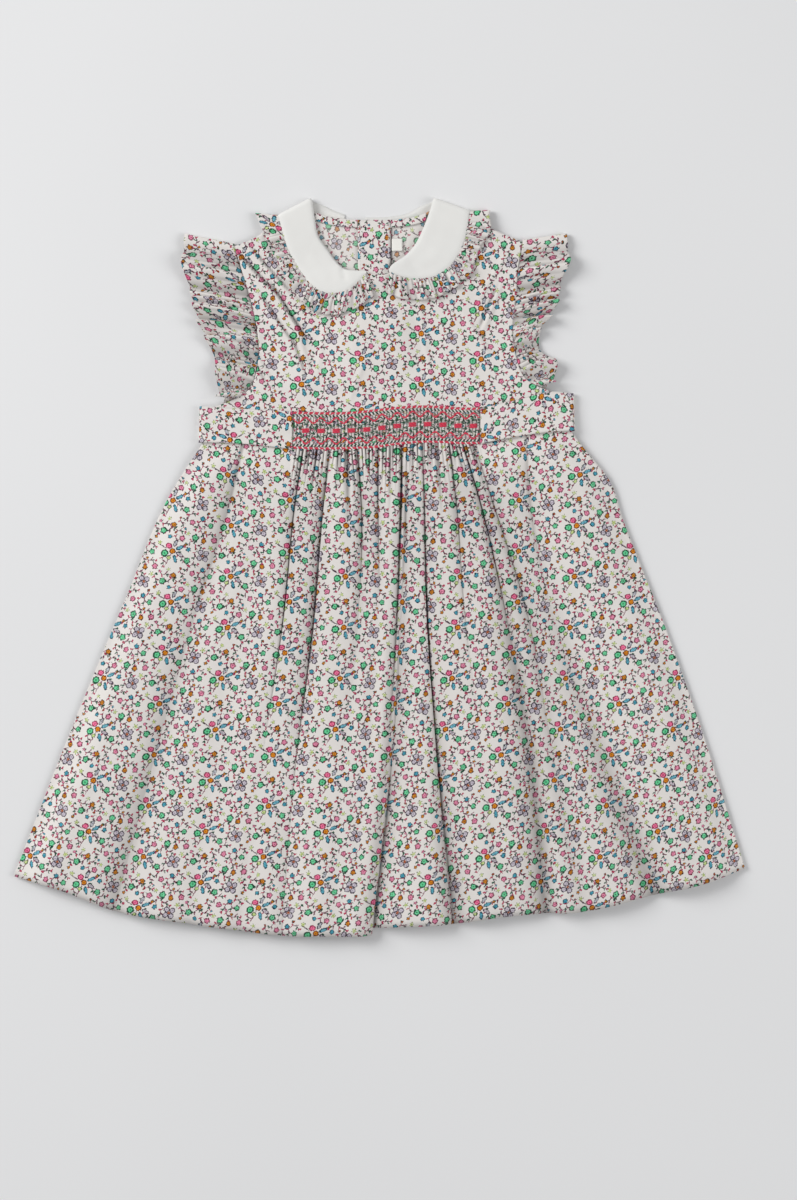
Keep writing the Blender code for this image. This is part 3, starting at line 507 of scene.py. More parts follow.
    def sprigs(self, under: Any) -> Any:
        """Print the curved stems with their alternating leaves."""
        put = self.put
        turned, _, size = self.nearest(Flower.SPRIG)
        x, y, _ = put("SeparateXYZ", put("VectorMath SCALE", turned, size)).node.outputs
        sway = put("Math SINE", put("Math MULTIPLY", x, self.stem_turns))
        aside = put("Math MULTIPLY_ADD", sway, -self.stem_sway, y)
        within = put("Math LESS_THAN", put("Math ABSOLUTE", x), self.stem_half)
        stem = put("Math LESS_THAN", put("Math ABSOLUTE", aside), self.stem_thick)
        colour = painted(self.tree, under, self.ink, put("Math MULTIPLY", stem, within))
        number = put("Math ROUND", put("Math MULTIPLY", x, 1 / self.leaf_step))
        along = put("Math MULTIPLY_ADD", number, -self.leaf_step, x)
        side = put("Math COSINE", put("Math MULTIPLY", number, np.pi))
        across = put("Math MULTIPLY_ADD", side, -self.leaf_out, aside)
        along = put("Math MULTIPLY_ADD", put("Math MULTIPLY", side, across), -self.leaf_lean, along)
        leaf = put("VectorMath DIVIDE", put("CombineXYZ", along, across), (*self.leaf, 1.0))
        leaf = put("Math LESS_THAN", put("VectorMath LENGTH", leaf), 1.0)
        pick = put("Math FRACT", put("Math MULTIPLY_ADD", number, 0.37, 5.1))
        hues = set_stops(put("ValToRGB", pick), self.leaf_hues, step=True)
        return painted(self.tree, colour, hues, put("Math MULTIPLY", leaf, within))

    def stars(self, under: Any) -> Any:
        """Print the small pointed flowers."""
        turned, _, size = self.nearest(Flower.STAR)
        reach = self.lobed(turned, size, *self.star_edge)
        return self.outlined(under, reach, "#CFE08C", "#4A5A34", self.star_dark)

    def blossoms(self, under: Any) -> Any:
        """Print the round blossoms, each in its tint."""
        turned, tint, size = self.nearest(Flower.BLOSSOM)
        fill, outline = (set_stops(self.put("ValToRGB", tint),
                                   [(n / 5, colour) for n, colour in enumerate(palette)], step=True)
                         for palette in (self.petals, self.outlines))
        reach = self.lobed(turned, size, *self.blossom_edge)
        return self.outlined(under, reach, fill, outline, self.blossom_dark)

    def four_petals(self, under: Any) -> Any:
        """Print the larger four-petalled flowers."""
        put, half = self.put, self.petal_half
        turned, _, _ = self.nearest(Flower.FOUR_PETAL)
        petal = put("VectorMath SUBTRACT", put("VectorMath ABSOLUTE", turned), (half, half, 0.0))
        reach = put("Math DIVIDE", put("VectorMath LENGTH", petal), half)
        colour = self.outlined(under, reach, "#CDC5CF", "#473A49", self.petal_dark)
        eye = put("Math LESS_THAN", put("VectorMath LENGTH", turned), self.eye_half)
        return painted(self.tree, colour, "#A65A3A", eye)

    def posies(self, under: Any) -> Any:
        """Print the posies, leaves first and the middle flower last."""
        put = self.put
        turned, _, size = self.nearest(Flower.POSY)
        grown = put("VectorMath SCALE", turned, put("Math DIVIDE", 1.0, size))
        for x, y, long, wide, turn, fill, outline in self.posy:
            local = put("Mapping", grown, (x, y, 0.0), (0.0, 0.0, turn), (long, wide, 1.0),
                        vector_type="TEXTURE")
            under = self.outlined(under, put("VectorMath LENGTH", local), fill, outline,
                                  self.posy_dark)
        return under


def new_finish(name: str, **values: float) -> tuple[Material, NodeTree, Node]:
    """A material with its nodes and its shader.

    Args:
        name: the material's name.
        values: the shader's own constant sockets, named with underscores for spaces.

    Returns:
        The material, its nodes and its shader.
    """
    finish = bpy.data.materials.new(name)
    finish.use_nodes = True
    shader = finish.node_tree.nodes["Principled BSDF"]
    for key, value in values.items():
        shader.inputs[key.replace("_", " ")].default_value = value
    return finish, finish.node_tree, shader


def add_clouds(tree: NodeTree, shader: Node, place: Any, scale: float,
               tones: Table, detail: float = 2.0) -> None:
    """Colour a finish in soft clouds: how many in a metre, their stops, and how broken they are."""
    cloud = add_node(tree, "TexNoise", place, Scale=scale, Detail=detail)
    tree.links.new(set_stops(add_node(tree, "ValToRGB", cloud), tones), shader.inputs["Base Color"])


def add_weave(tree: NodeTree, shader: Node, pitch: float, depth: float) -> None:
    """Raise a plain weave on a cloth.

    Args:
        tree: the material's nodes.
        shader: the shader that gets the raised surface.
        pitch: distance between threads as drawn, in metres.
        depth: height of a thread, in metres.
    """
    put = partial(add_node, tree)
    place = put("UVMap", uv_map="Cloth")
    turns = 2 * np.pi / pitch
    wave = put("VectorMath SINE", put("VectorMath MULTIPLY", place, (turns, turns, 0.0)))
    over_under = put("SeparateXYZ", wave).node.outputs
    threads = put("Math MULTIPLY", over_under[0], over_under[1])
    slub = put("TexNoise", place, Scale=260.0, Detail=3.0, noise_dimensions="2D")
    height = put("Math MULTIPLY_ADD", slub, 2.4, threads)
    tree.links.new(put("Bump", Height=height, Strength=1.0, Distance=depth), shader.inputs["Normal"])


@dataclass(frozen=True)
class PrintedLawn:
    """Cotton lawn, screen-printed, washed and pressed: matt, fine-threaded, soft in its folds."""

    # Lawn has about 0.25 mm between threads; drawn at 0.9 mm so that it shows at all.
    thread_pitch: float = 0.9 * MM
    thread_height: float = 0.035 * MM
    crease_shade: str = "#3C3437"
    wrong_side_fade: float = 0.22

    def materials(self) -> tuple[Material, Material]:
        """The cloth's right side and its paler wrong side."""
        floral = FloralPrint()
        return (self.side(floral, "printed cotton lawn", 0.0),
                self.side(floral, "printed cotton lawn, wrong side", self.wrong_side_fade))

    def side(self, floral: FloralPrint, name: str, fade: float) -> Material:
        """One side of the cloth.

        Args:
            floral: the print.
            name: the material's name.
            fade: how much of the print doesn't come through to this side.

        Returns:
            The material.
        """
        finish, tree, shader = new_finish(name, Roughness=0.86, IOR=1.46, Sheen_Weight=0.12,
                                          Sheen_Roughness=0.5, Specular_IOR_Level=0.25)
        put = partial(add_node, tree)
        place = put("VectorMath SCALE", put("UVMap", uv_map="Cloth"), 1 / MM)
        colour = painted(tree, put("Group", place, node_tree=floral.tree), floral.ground, fade)
        # Painted shade: the print darkens towards the crease shade where the cloth lies in folds, gathers,
        # valleys and hollows, as the point attribute says.
        painted_shade = put("Attribute", attribute_name="painted_shade", out=2)
        fold_shaded_colour = put("Mix", 1.0, colour, linear(self.crease_shade), data_type="RGBA",
                      blend_type="MULTIPLY")
        tree.links.new(painted(tree, colour, fold_shaded_colour, painted_shade), shader.inputs["Base Color"])
        add_weave(tree, shader, self.thread_pitch, self.thread_height)
        return finish


@dataclass(frozen=True)
class WhiteCotton:
    """Bleached plain-woven cotton over interfacing, pressed flat: clean, matt and close-grained."""

    colour: str = "#EBEAE6"
    # Poplin has about 0.3 mm between threads; drawn at 0.8 mm so that it shows.
    thread_pitch: float = 0.8 * MM
    thread_height: float = 0.02 * MM

    def material(self, name: str = "white cotton poplin") -> Material:
        """The cloth's material under a name."""
        finish, tree, shader = new_finish(name, Roughness=0.8, IOR=1.46, Sheen_Weight=0.1,
                                          Sheen_Roughness=0.5, Specular_IOR_Level=0.3)
        place = add_node(tree, "UVMap", uv_map="Cloth")
        add_clouds(tree, shader, place, 35.0, ((0.3, "#E6E5E1"), (0.65, self.colour)))
        add_weave(tree, shader, self.thread_pitch, self.thread_height)
        return finish


@dataclass(frozen=True)
class Thread:
    """Mercerised cotton embroidery thread: two twisted plies with a soft shine on their tops and painted
    shade in the grooves between them.
    """

    name: str
    colour: str
    # The plies turn once in about 1.2 mm.
    twist: float = 1.2 * MM
    # painted shade: the share of the colour left in the grooves between the plies
    ply_groove_shade: float = 0.72

    def material(self) -> Material:
        """The thread's material."""
        finish, tree, shader = new_finish(self.name, Roughness=0.55, IOR=1.5, Sheen_Weight=0.15,
                                          Specular_IOR_Level=0.4)
        put = partial(add_node, tree)
        plies = put("TexWave", put("TexCoord", out=3), Scale=0.3 / self.twist, Distortion=1.5,
                    wave_type="BANDS", bands_direction="DIAGONAL", out=1)
        # Painted shade: the plies' colour darkens into the grooves between them.
        top = linear(self.colour)
        under = (*(self.ply_groove_shade * part for part in top[:3]), 1.0)
        tree.links.new(put("Mix", plies, top, under, data_type="RGBA"), shader.inputs["Base Color"])
        bump = put("Bump", Height=plies, Strength=0.6, Distance=0.1 * MM)
        tree.links.new(bump, shader.inputs["Normal"])
        return finish


@dataclass(frozen=True)
class PearlPolyester:
    """Cast polyester button with a pearl filler, polished: a soft cloudy sheen."""

    colour: str = "#EDE9E1"

    def material(self) -> Material:
        """The buttons' material."""
        finish, tree, shader = new_finish("pearl polyester", Roughness=0.28, IOR=1.54,
                                          Coat_Weight=0.4, Coat_Roughness=0.12)
        # The filler lies in clouds 3 to 5 mm across.
        place = add_node(tree, "TexCoord", out=3)
        add_clouds(tree, shader, place, 280.0, ((0.35, "#D9D3C9"), (0.65, self.colour)))
        return finish


@dataclass(frozen=True)
class PaintedBoard:
    """Matt painted board under the dress: a pale even grey with no gloss."""

    colour: str = "#E9E9E9"

    def material(self) -> Material:
        """The board's material."""
        finish, tree, shader = new_finish("matt painted board", Roughness=0.9, Specular_IOR_Level=0.1)
        place = add_node(tree, "TexCoord", out=3)
        add_clouds(tree, shader, place, 3.0, ((0.3, "#E7E7E7"), (0.7, self.colour)), 1.0)
        return finish


class Wardrobe:
    """Every finish of the dress, made once.

    A cloth's finishes come in pairs: its upper side as it lies, and its lower side.
    """

    def __init__(self) -> None:
        """Make the finishes."""
        right, wrong = PrintedLawn().materials()
        self.right_up, self.wrong_up = (right, wrong), (wrong, right)
        self.white = (WhiteCotton().material(),) * 2
        label = WhiteCotton(colour="#F3F1EA", thread_pitch=0.5 * MM)
        self.label = (label.material("woven label"),) * 2
        # The darkest thread is painted shadow: its stitches stand for the shadowed gaps between the green
        # stitches.
        self.threads = {key: Thread(f"{name} thread", colour).material() for key, name, colour in (
            ("red", "red embroidery", "#E83E5B"), ("green", "dark green embroidery", "#2E5A41"),
            ("cream", "cream embroidery", "#F1EAE4"), ("dark", "painted shadow embroidery", "#1F2A24"))}
        self.sewing = {"sewing": Thread("white sewing thread", "#F2F0EC").material()}
        self.pearl = PearlPolyester().material()
        self.floor = PaintedBoard().material()


# ------------ shells
SHELL = 0.4  # drawn thickness of one layer of lawn
COLLAR_SHELL = 0.9  # two layers of poplin and their interfacing
SHARP = np.radians(50.0)
FOLD_STEPS = 9
# Where a shell's front, back and rim lie up its baking map: start and height.
BAKE_FRONT, BAKE_BACK, BAKE_RIM = (0.345, 0.65), (0.005, 0.31), (0.322, 0.016)
BAKE_EDGE = 0.01
Faces = tuple[Material, Material]


class Lie(Enum):
    LAID = "laid"
    GATHERED = "gathered"
    FOLDED = "folded"


def run_lengths(grid: Array, axis: int) -> Array:
    """Distance along each row (axis 1) or column (axis 0) of a grid of points."""
    steps = np.linalg.norm(np.diff(grid, axis=axis), axis=2)
    return np.insert(np.cumsum(steps, axis=axis), 0, 0.0, axis=axis)


def unit(vectors: Array) -> Array:
    """The vectors, each made one unit long."""
    return vectors / np.maximum(np.linalg.norm(vectors, axis=-1, keepdims=True), 1e-9)


def add_mesh(name: str, points: Array, faces: Array, finishes: Sequence[Material],
             choice: Array | None = None) -> Object:
    """A mesh object from arrays.

    Args:
        name: the piece's name.
        points: places in millimetres.
        faces: four point numbers for each face.
        finishes: the piece's materials.
        choice: each face's material number, if there are several.

    Returns:
        The new object.
    """
    mesh = bpy.data.meshes.new(name)
    mesh.vertices.add(len(points))
    mesh.vertices.foreach_set("co", (points * MM).astype(np.float32).ravel())
    mesh.loops.add(faces.size)
    mesh.loops.foreach_set("vertex_index", faces.astype(np.int32).ravel())
    mesh.polygons.add(len(faces))
    mesh.polygons.foreach_set("loop_start", np.arange(0, faces.size, 4, dtype=np.int32))
    for finish in finishes:
        mesh.materials.append(finish)
    if choice is not None:
        mesh.polygons.foreach_set("material_index", choice.astype(np.int32))
    mesh.update(calc_edges=True)
    mesh.shade_smooth()
    piece = bpy.data.objects.new(name, mesh)
    bpy.context.scene.collection.objects.link(piece)
    return piece


def turned_faces(rings: int, sides: int) -> tuple[Array, Array]:
    """Point numbers of a round form by ring, and the faces between its rings."""
    number = np.arange(rings * sides).reshape(rings, sides)
    turned = np.roll(number, -1, axis=1)
    return number, np.stack([number[:-1], turned[:-1], turned[1:], number[1:]], -1).reshape(-1, 4)


def set_map(mesh: Mesh, name: str, places: Array) -> None:
    """Give a mesh a map with a place for each face's corner."""
    mesh.uv_layers.new(name=name).data.foreach_set("uv", places.astype(np.float32).ravel())


def baking_places(grid: Array, faces: Array, rim: int) -> Array:
    """Where a shell's faces lie on its baking map, none over another.

    Args:
        grid: its middle surface.
        faces: its faces, the rim's last.
        rim: how many faces the rim has.

    Returns:
        A place for each face's corner.
    """
    across, along = run_lengths(grid, 1).mean(axis=0), run_lengths(grid, 0).mean(axis=1)
    u, v = np.meshgrid(across / across[-1], along / along[-1])
    u = BAKE_EDGE + (1 - 2 * BAKE_EDGE) * u
    sides = [np.dstack([u, start + high * v]).reshape(-1, 2) for start, high in (BAKE_FRONT, BAKE_BACK)]
    ends = np.linspace(BAKE_EDGE, 1 - BAKE_EDGE, rim + 1)
    low, high = BAKE_RIM[0], sum(BAKE_RIM)
    strip = np.stack([np.column_stack(np.broadcast_arrays(place, level)) for place, level in (
        (ends[:-1], low), (ends[1:], low), (ends[1:], high), (ends[:-1], high))], axis=1)
    return np.concatenate([np.concatenate(sides)[faces[:-rim].ravel()], strip.reshape(-1, 2)])


def declare(piece: Object, slot: str, *nodes: str) -> None:
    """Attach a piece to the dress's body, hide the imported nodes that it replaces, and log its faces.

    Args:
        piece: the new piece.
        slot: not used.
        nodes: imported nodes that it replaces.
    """
    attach(piece, BODY)
    if nodes:
        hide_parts(*nodes)
    LOG.info("%s: %d faces", piece.name, len(piece.data.polygons))


@dataclass(frozen=True)
class Cloth:
    """One piece of cloth: what it is called, what it stands for and how it was cut.

    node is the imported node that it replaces; flat its width and length in metres before it was
    sewn, empty where another piece carries it; held how it lies now; rests_on what it lies on;
    area its flat area where it isn't a rectangle; slot the record's material slot; start its
    place on the printed cloth, and thick its drawn thickness, both in millimetres.
    """

    name: str
    node: str
    flat: Row = ()
    held: Lie = Lie.FOLDED
    rests_on: tuple[str, ...] = ()
    area: float | None = None
    slot: str = "printed_lawn"
    start: Row = (0.0, 0.0)
    thick: float = SHELL

    def sew(self, grid: Array, sides: Faces, places: Array | None = None,
            painted_shade: Array | None = None) -> Object:
        """Args:
            grid: the middle surface (rows, columns, 3) in millimetres, its front side up.
            sides: finishes of its upper and its lower side; the rim takes the upper's.
            places: each point's place on the flat cloth, if not straight above it.
            painted_shade: painted shade at each point, from 0 to 1, where the cloth lies in folds, gathers
                and hollows.

        Returns:
            The piece.
        """
        half = self.thick / 2 * unit(np.cross(np.gradient(grid, axis=1), np.gradient(grid, axis=0)))
        points = np.concatenate([(grid + half).reshape(-1, 3), (grid - half).reshape(-1, 3)])
        number = np.arange(len(points) // 2).reshape(grid.shape[:2])
        front = np.stack([number[:-1, :-1], number[:-1, 1:], number[1:, 1:], number[1:, :-1]], -1)
        front = front.reshape(-1, 4)
        ring = np.concatenate([number[0, :-1], number[:-1, -1], number[-1, :0:-1], number[::-1, 0]])
        under = ring + number.size
        rim = np.stack([under[:-1], under[1:], ring[1:], ring[:-1]], axis=-1)
        faces = np.concatenate([front, (front + number.size)[:, ::-1], rim])
        choice = np.repeat([0, 1, 0], [len(front), len(front), len(rim)])
        piece = add_mesh(self.name, points, faces, sides, choice)
        places = ((grid[..., :2] if places is None else places) + self.start) * MM
        set_map(piece.data, "Cloth", np.tile(places.reshape(-1, 2), (2, 1))[faces.ravel()])
        set_map(piece.data, "OFBake", baking_places(grid, faces, len(rim)))
        # Painted shade in folds, gathers and hollows, carried as a point attribute for the finish.
        if painted_shade is not None:
            shade = piece.data.attributes.new("painted_shade", "FLOAT", "POINT")
            shade.data.foreach_set("value", np.tile(painted_shade.ravel(), 2).astype(np.float32))
        declare(piece, self.slot, self.node)
        return piece

    def lay(self, piece: Object, *sewn_on: Any) -> None:
        """Do nothing with the piece, nor with the small pieces sewn on it or their names."""


def facing_up(grid: Array) -> Array:
    """The grid turned so that its front faces up near its start."""
    across, along = grid[1, -1] - grid[1, 0], grid[3, 0] - grid[1, 0]
    return grid if np.cross(across, along)[2] > 0 else grid[:, ::-1]


def outward_of(line: Array, inside: Array) -> Array:
    """Unit direction square to a fold's line in plan, away from a point inside the piece."""
    run = line[-1] - line[0]
    outward = np.array([-run[1], run[0]]) / np.linalg.norm(run)
    return outward if np.dot(outward, line.mean(axis=0) - inside) > 0 else -outward


def over_fold(front: Array, front_height: Array, back: Array,
              back_height: float, outward: Array) -> Array:
    """A strip that runs up the front, round a fold and down the back.

    Args:
        front, back: plans (rows, columns, 2) whose meeting rows agree, the fold line.
        front_height, back_height: heights of the strip's middle there.
        outward: plan direction in which the fold's round reaches past the line.

    Returns:
        The strip's middle surface (rows, columns, 3).
    """
    low = np.full(back.shape[:2], back_height)
    radius, centre = (front_height[-1] - low[0]) / 2, (front_height[-1] + low[0]) / 2
    rounded = []
    for angle in np.linspace(0.0, np.pi, FOLD_STEPS + 1)[1:-1]:
        reach = front[-1] + outward * (radius * np.sin(angle))[:, None]
        rounded.append(np.column_stack([reach, centre + radius * np.cos(angle)]))
    return np.concatenate([np.dstack([front, front_height]), rounded, np.dstack([back, low])])


def flat_places(grid: Array) -> Array:
    """Places on the flat cloth of a strip: distance along its longer edge, and across it."""
    along, across = run_lengths(grid, 0), run_lengths(grid, 1).mean(axis=0)
    return np.dstack(np.broadcast_arrays(along.max(axis=1)[:, None], across[None]))


# ------------ waist
WAIST_TOP = ((-126, 113.2), (-95, 111.5), (-62, 110.7), (-15, 111), (0, 112.7), (12, 114),
             (26, 115), (39, 115), (49, 114.2), (71, 113.7), (108, 120), (136, 123))
WAIST_BOTTOM = ((-126, 90.5), (-95, 89), (-69, 85.6), (-21, 84.6), (-3, 85.5), (12, 87.5),
                (26, 89), (45, 89), (59, 88.2), (72, 88.5), (106, 96), (137, 99))
BACK_WAIST = ((-126, 101), (0, 99), (137, 109))
SMOCKED_X = (-62.0, 72.0)
SMOCK_PLEATS = 54


def pleat_at(x: Array) -> Array:
    """Number of smocking pleats from the smocking's left end."""
    return (x - SMOCKED_X[0]) / (SMOCKED_X[1] - SMOCKED_X[0]) * SMOCK_PLEATS


@dataclass(frozen=True)
class Fold:
    """A line down the skirt, an edge or a fold.

    x holds where it crosses waist, hip, thigh, knee and hem; hem_y the hem's place there; depth
    the share of the skirt's loft that it takes away at hip, thigh, knee and hem; run how far its
    slope goes left and right; lap how far its left side hangs over it, or its right one if less
    than 0; slit how tight and deep its crease is at the five places.
    """

    x: Row
    hem_y: float
    depth: Row
    run: tuple[float, float]
    lap: float = 0.0
    slit: Row = (0, 0, 0, 0, 0)


@dataclass(frozen=True)
class Skirt:
    """The gathered skirt: folds run from the smocking and fan out to the hem."""

    front: Cloth = Cloth("front_skirt_cloth", "skirt_front", (0.60, 0.36), Lie.GATHERED,
                         ("back_skirt_cloth",), 0.205)
    back: Cloth = Cloth("back_skirt_cloth", "skirt_back", (0.54, 0.37), Lie.GATHERED, (), 0.18,
                        start=(211.0, 90.0))
    # waist, hip, thigh, knee and hem as shares of its length, and its loft there
    stations: Row = (0.0, 0.12, 0.35, 0.65, 1.0)
    loft: Row = (0.0, 4.0, 6.0, 7.5, 8.5)
    folds: tuple[Fold, ...] = (
        Fold((-126, -150, -181, -220, -263), -222.8, (0, 0, 0, 0), (5, 5)),
        Fold((-113, -130, -158, -191, -229), -232.2, (0.1, 0.2, 0.1, 0.2), (9, 9)),
        Fold((-98, -107, -130, -159, -190), -247.3, (0.7, 0.5, 0.6, 0.7), (8, 6), 0,
             (1, 0.7, 0.15, 0.1, 0.1)),
        Fold((-72, -80, -99, -118, -136), -256, (0.2, 0.1, 0.1, 0.3), (9, 9)),
        Fold((-55, -61, -69, -84, -100), -261, (0.6, 0.3, 0.1, 0.2), (4, 8), -1.5,
             (0.7, 0.7, 0.45, 0, 0)),
        Fold((-36, -40, -47, -60, -70), -264.6, (0.9, 0.9, 0.2, 0.3), (6, 4), -3.5,
             (0.7, 1, 0.8, 0.2, 0.1)),
        Fold((-16, -13, -15, -25, -36), -265.3, (0.8, 0.5, 0.1, 0.2), (5, 6), 2, (1, 0.6, 0.1, 0, 0)),
        Fold((-1, -1, 0, -9, -20), -265.3, (0.6, 0.2, 0.1, 0), (4, 4), 0, (1, 0.5, 0, 0, 0)),
        Fold((16, 15, 12, 5, -8), -264.6, (0.2, 0.1, 0.1, 0), (3, 2), 0, (1, 0.9, 0.5, 0.1, 0)),
        Fold((20, 19, 16, 9, -5), -259.6, (0.7, 0.6, 0.7, 0.9), (3, 7), 3.5, (0.2, 0.1, 0.1, 0.2, 0.5)),
        Fold((31, 32, 34, 41, 53), -256.7, (0.6, 0.5, 0.8, 1), (3, 8), 3.5, (0.7, 0.5, 1, 0.8, 0.1)),
        Fold((50, 55, 61, 74, 87), -251.6, (0.7, 0.3, 0.1, 0.2), (5, 7), 1.5, (0.9, 0.6, 0.2, 0, 0)),
        Fold((60, 72, 90, 108, 120), -248.8, (0.8, 0.8, 0.9, 1), (8, 4), 3.5, (0.9, 1, 0.5, 0.1, 0)),
        Fold((68, 81, 105, 124, 147), -247.3, (0.7, 0.6, 0.5, 0.4), (6, 8), 0, (0.5, 0.6, 0.4, 0.1, 0)),
        Fold((105, 107, 121, 154, 198), -235.8, (0.5, 0.4, 0.6, 0.9), (10, 7), 0,
             (0.3, 0.3, 0.1, 0.1, 0.1)),
        Fold((124, 138, 163, 195, 232), -227.9, (0.1, 0.1, 0.1, 0.2), (9, 9)),
        Fold((137, 161, 193, 228, 263), -217.1, (0, 0, 0, 0), (5, 5)),
    )
    # back folds: x at the waist and at the hem, rise
    back_folds: Table = ((-88, -150, 1.6), (-62, -104, 1.2), (-40, -62, 1.7), (-19, -30, 1.3),
                         (6, 4, 1.6), (27, 38, 1.1), (50, 80, 1.7), (78, 124, 1.3), (104, 172, 1.5))
    back_size: tuple[int, int] = (50, 121)
    back_fold_rise: float = 1.8
    back_fold_width: Row = (5.0, 11.0)
    back_inset: float = 1.2
    back_hem_short: float = 3.0
    side_run: float = 26.0
    # the right side's bulge: how far out, where down the length and how long
    elbow: Row = (5.0, 0.12, 0.06)
    # more gathers that die away under the smocking: x there, depth, how far down they reach
    short_folds: Table = ((-45, 1.4, 34), (-23.4, 1.7, 46), (-8, 0.9, 26), (8, 1.3, 38),
                          (24, 1.2, 30), (41, 1.5, 42), (55, 1.0, 28), (-51, 0.9, 22),
                          (-29, 1.0, 24), (3, 0.8, 20), (36, 0.9, 24), (66, 1.2, 34))
    gather_height: float = 2.2
    gather_inset: float = 4.0
    gather_points: int = 6
    side_columns: int = 50
    row_count: int = 100
    row_crowding: float = 1.35
    column_crowding: float = 0.14
    slit_width: float = 0.75
    slit_depth: float = 4.5
    slit_floor: float = 0.7
    # how round a fold's crest is: where it is tight, and how much more where it is soft
    crest: Row = (0.4, 4.0)
    # the puff under the waist: its height, where it is full and how far down it reaches
    waist_puff: Row = (2.2, 5.0, 60.0)
    # soft unevenness, and ripples that run with the folds: height, size and seed
    crumples: tuple[float, float, int] = (0.5, 42.0, 11)
    ripples: tuple[float, float, int] = (0.7, 17.0, 23)
    ripple_stretch: float = 0.16
    hem_droop: float = 1.2
    hem_droop_run: float = 1.6
    # how much painted shade darkens a soft hollow and a tight slit
    hollow_shade: float = 0.52
    slit_shade: float = 0.9
    # which line, from the left, the print is laid out from
    map_middle: float = 7.5

    def lines_at(self, down: Array) -> Array:
        """x of every line (rows, lines) at shares of the skirt's length."""
        table = np.array([fold.x for fold in self.folds], float).T
        return hermite(table, np.array(self.stations), down)

    def plan(self, columns: Array, down: Array) -> Array:
        """The skirt's plan.

        Args:
            columns: places between the lines, in lines, (rows, columns).
            down: share of the length from the waist at each row.

        Returns:
            Plan points (rows, columns, 2) from waist to hem.
        """
        numbers = np.arange(len(self.folds))
        at = self.lines_at(down)
        x = np.array([np.interp(row, numbers, line) for row, line in zip(columns, at)])
        hem = np.array([[fold.hem_y] for fold in self.folds])
        hem_y = hermite(hem, numbers.astype(float), columns[-1])[:, 0]
        waist_y = height_at(WAIST_BOTTOM, x[0]) - GAP
        y = waist_y + (hem_y - waist_y) * down[:, None]
        out, place, reach = self.elbow
        elbow = np.exp(-((down[:, None] - place) / reach) ** 2) * ramp((columns - numbers[-3]) / 2)
        return np.dstack([x + out * elbow, y])

    def loft_over(self, plan: Array, down: Array) -> Array:
        """Height of the loft over the layers beneath, dying away at the side edges."""
        x = plan[..., 0]
        side = np.minimum(x - x[:, :1], x[:, -1:] - x)
        return np.interp(down, self.stations, self.loft)[:, None] * ramp(side / self.side_run)

    def front_columns(self) -> Array:
        """Places between the lines, even at the waist within the smocking."""
        waist = np.array([fold.x[0] for fold in self.folds], float)
        start, end = SMOCKED_X
        smocked = np.linspace(start, end, SMOCK_PLEATS * self.gather_points + 1)
        x = np.concatenate([np.linspace(waist[0], start, self.side_columns)[:-1], smocked,
                            np.linspace(end, waist[-1], self.side_columns)[1:]])
        return np.interp(x, waist, np.arange(len(waist)))

    def fold(self, plan: Array, down: Array) -> tuple[Array, Array, Array]:
        """What the folds do to the skirt.

        Args:
            plan: plan points from waist to hem.
            down: share of the length from the waist at each row.

        Returns:
            The share of the loft that is kept, how far each point hangs over to the right in
            millimetres, and how closely a fold is pressed shut, from 0 to 1.
        """
        x, lines, down = plan[..., 0], self.lines_at(down), down[:, None]
        kept, push, slit = np.ones_like(x), np.zeros_like(x), np.zeros_like(x)
        for number, fold in enumerate(self.folds):
            aside = x - lines[:, number:number + 1]
            cut = np.interp(down, self.stations[1:], fold.depth)
            run = np.where(aside < 0, *fold.run)
            tight = hermite(np.array(fold.slit)[:, None], np.array(self.stations), down[:, 0])
            crest, softer = self.crest
            crest = crest + softer * (1 - tight) * ramp((down - 0.12) / 0.4)
            kept *= 1.0 - cut * np.exp(-(np.sqrt(aside ** 2 + crest ** 2) - crest) / run)
            slit = np.maximum(slit, tight * np.exp(-(aside / self.slit_width) ** 2))
            if fold.lap:
                lip = 0.9 * (fold.run[0] if fold.lap > 0 else -fold.run[1])
                hang = fold.lap * cut * (0.3 + 0.7 * tight) * ramp(down / 0.1)
                push += hang * np.exp(-((aside + lip) / (0.5 * lip)) ** 2)
        return kept, push, slit

    def front_grid(self) -> tuple[Array, Array, Array]:
        """Middle surface of the front, its places on the flat cloth, and its painted shade."""
        down = shares(self.row_count) ** self.row_crowding
        even = self.front_columns()[None]
        crowd = self.column_crowding * ramp(down / 0.5)[:, None]
        columns = even - crowd * np.sin(2 * np.pi * (even - np.floor(even)))
        plan = self.plan(columns, down)
        x, y = plan[..., 0], plan[..., 1]
        kept, push, slit = self.fold(plan, down)
        loft = self.loft_over(plan, down)
        below = height_at(WAIST_BOTTOM, x[0]) - y
        # gathered is the painted shade in the valleys of the gathers
        rise, gathered = self.gathers(x[0], below)
        edge = ramp(loft / self.loft[1])
        uneven, *kind = self.crumples
        rippled, *ripple = self.ripples
        soft = (uneven * crumple(x, y, *kind)
                + rippled * crumple(columns * ripple[0], y * self.ripple_stretch, *ripple))
        droop = self.hem_droop * np.exp(-(y - y[-1:]) / self.hem_droop_run)
        soft = soft * edge * ramp(down / 0.15)[:, None] - droop * edge
        high, full_at, reach = self.waist_puff
        puff = high * ramp(below / full_at) * np.exp(-(below / reach) ** 2) * ramp(loft / 1.5)
        full = (loft + puff) * kept + rise + soft + self.slit_floor
        height = Layers.front(x, y) + self.back_fold_rise * edge + LAWN - SHELL / 2
        height = height + full - self.slit_floor - slit * np.minimum(full, self.slit_depth)
        grid = np.dstack([x + push, y, height])[::-1]
        middle = np.argmin(np.abs(even[0] - self.map_middle))
        u = run_lengths(np.dstack([x + push, y, loft * kept])[::-1], 1)
        cloth = np.dstack([u - u[:, middle:middle + 1], grid[..., 1]])
        # Painted shade: darker colour in soft hollows, tight slits and the gathers' valleys.
        hollow = self.hollow_shade * (1 - kept) ** 1.4 * edge
        painted_shade = np.maximum(hollow, np.maximum(self.slit_shade * slit ** 0.7, gathered))[::-1]
        return grid, cloth, painted_shade

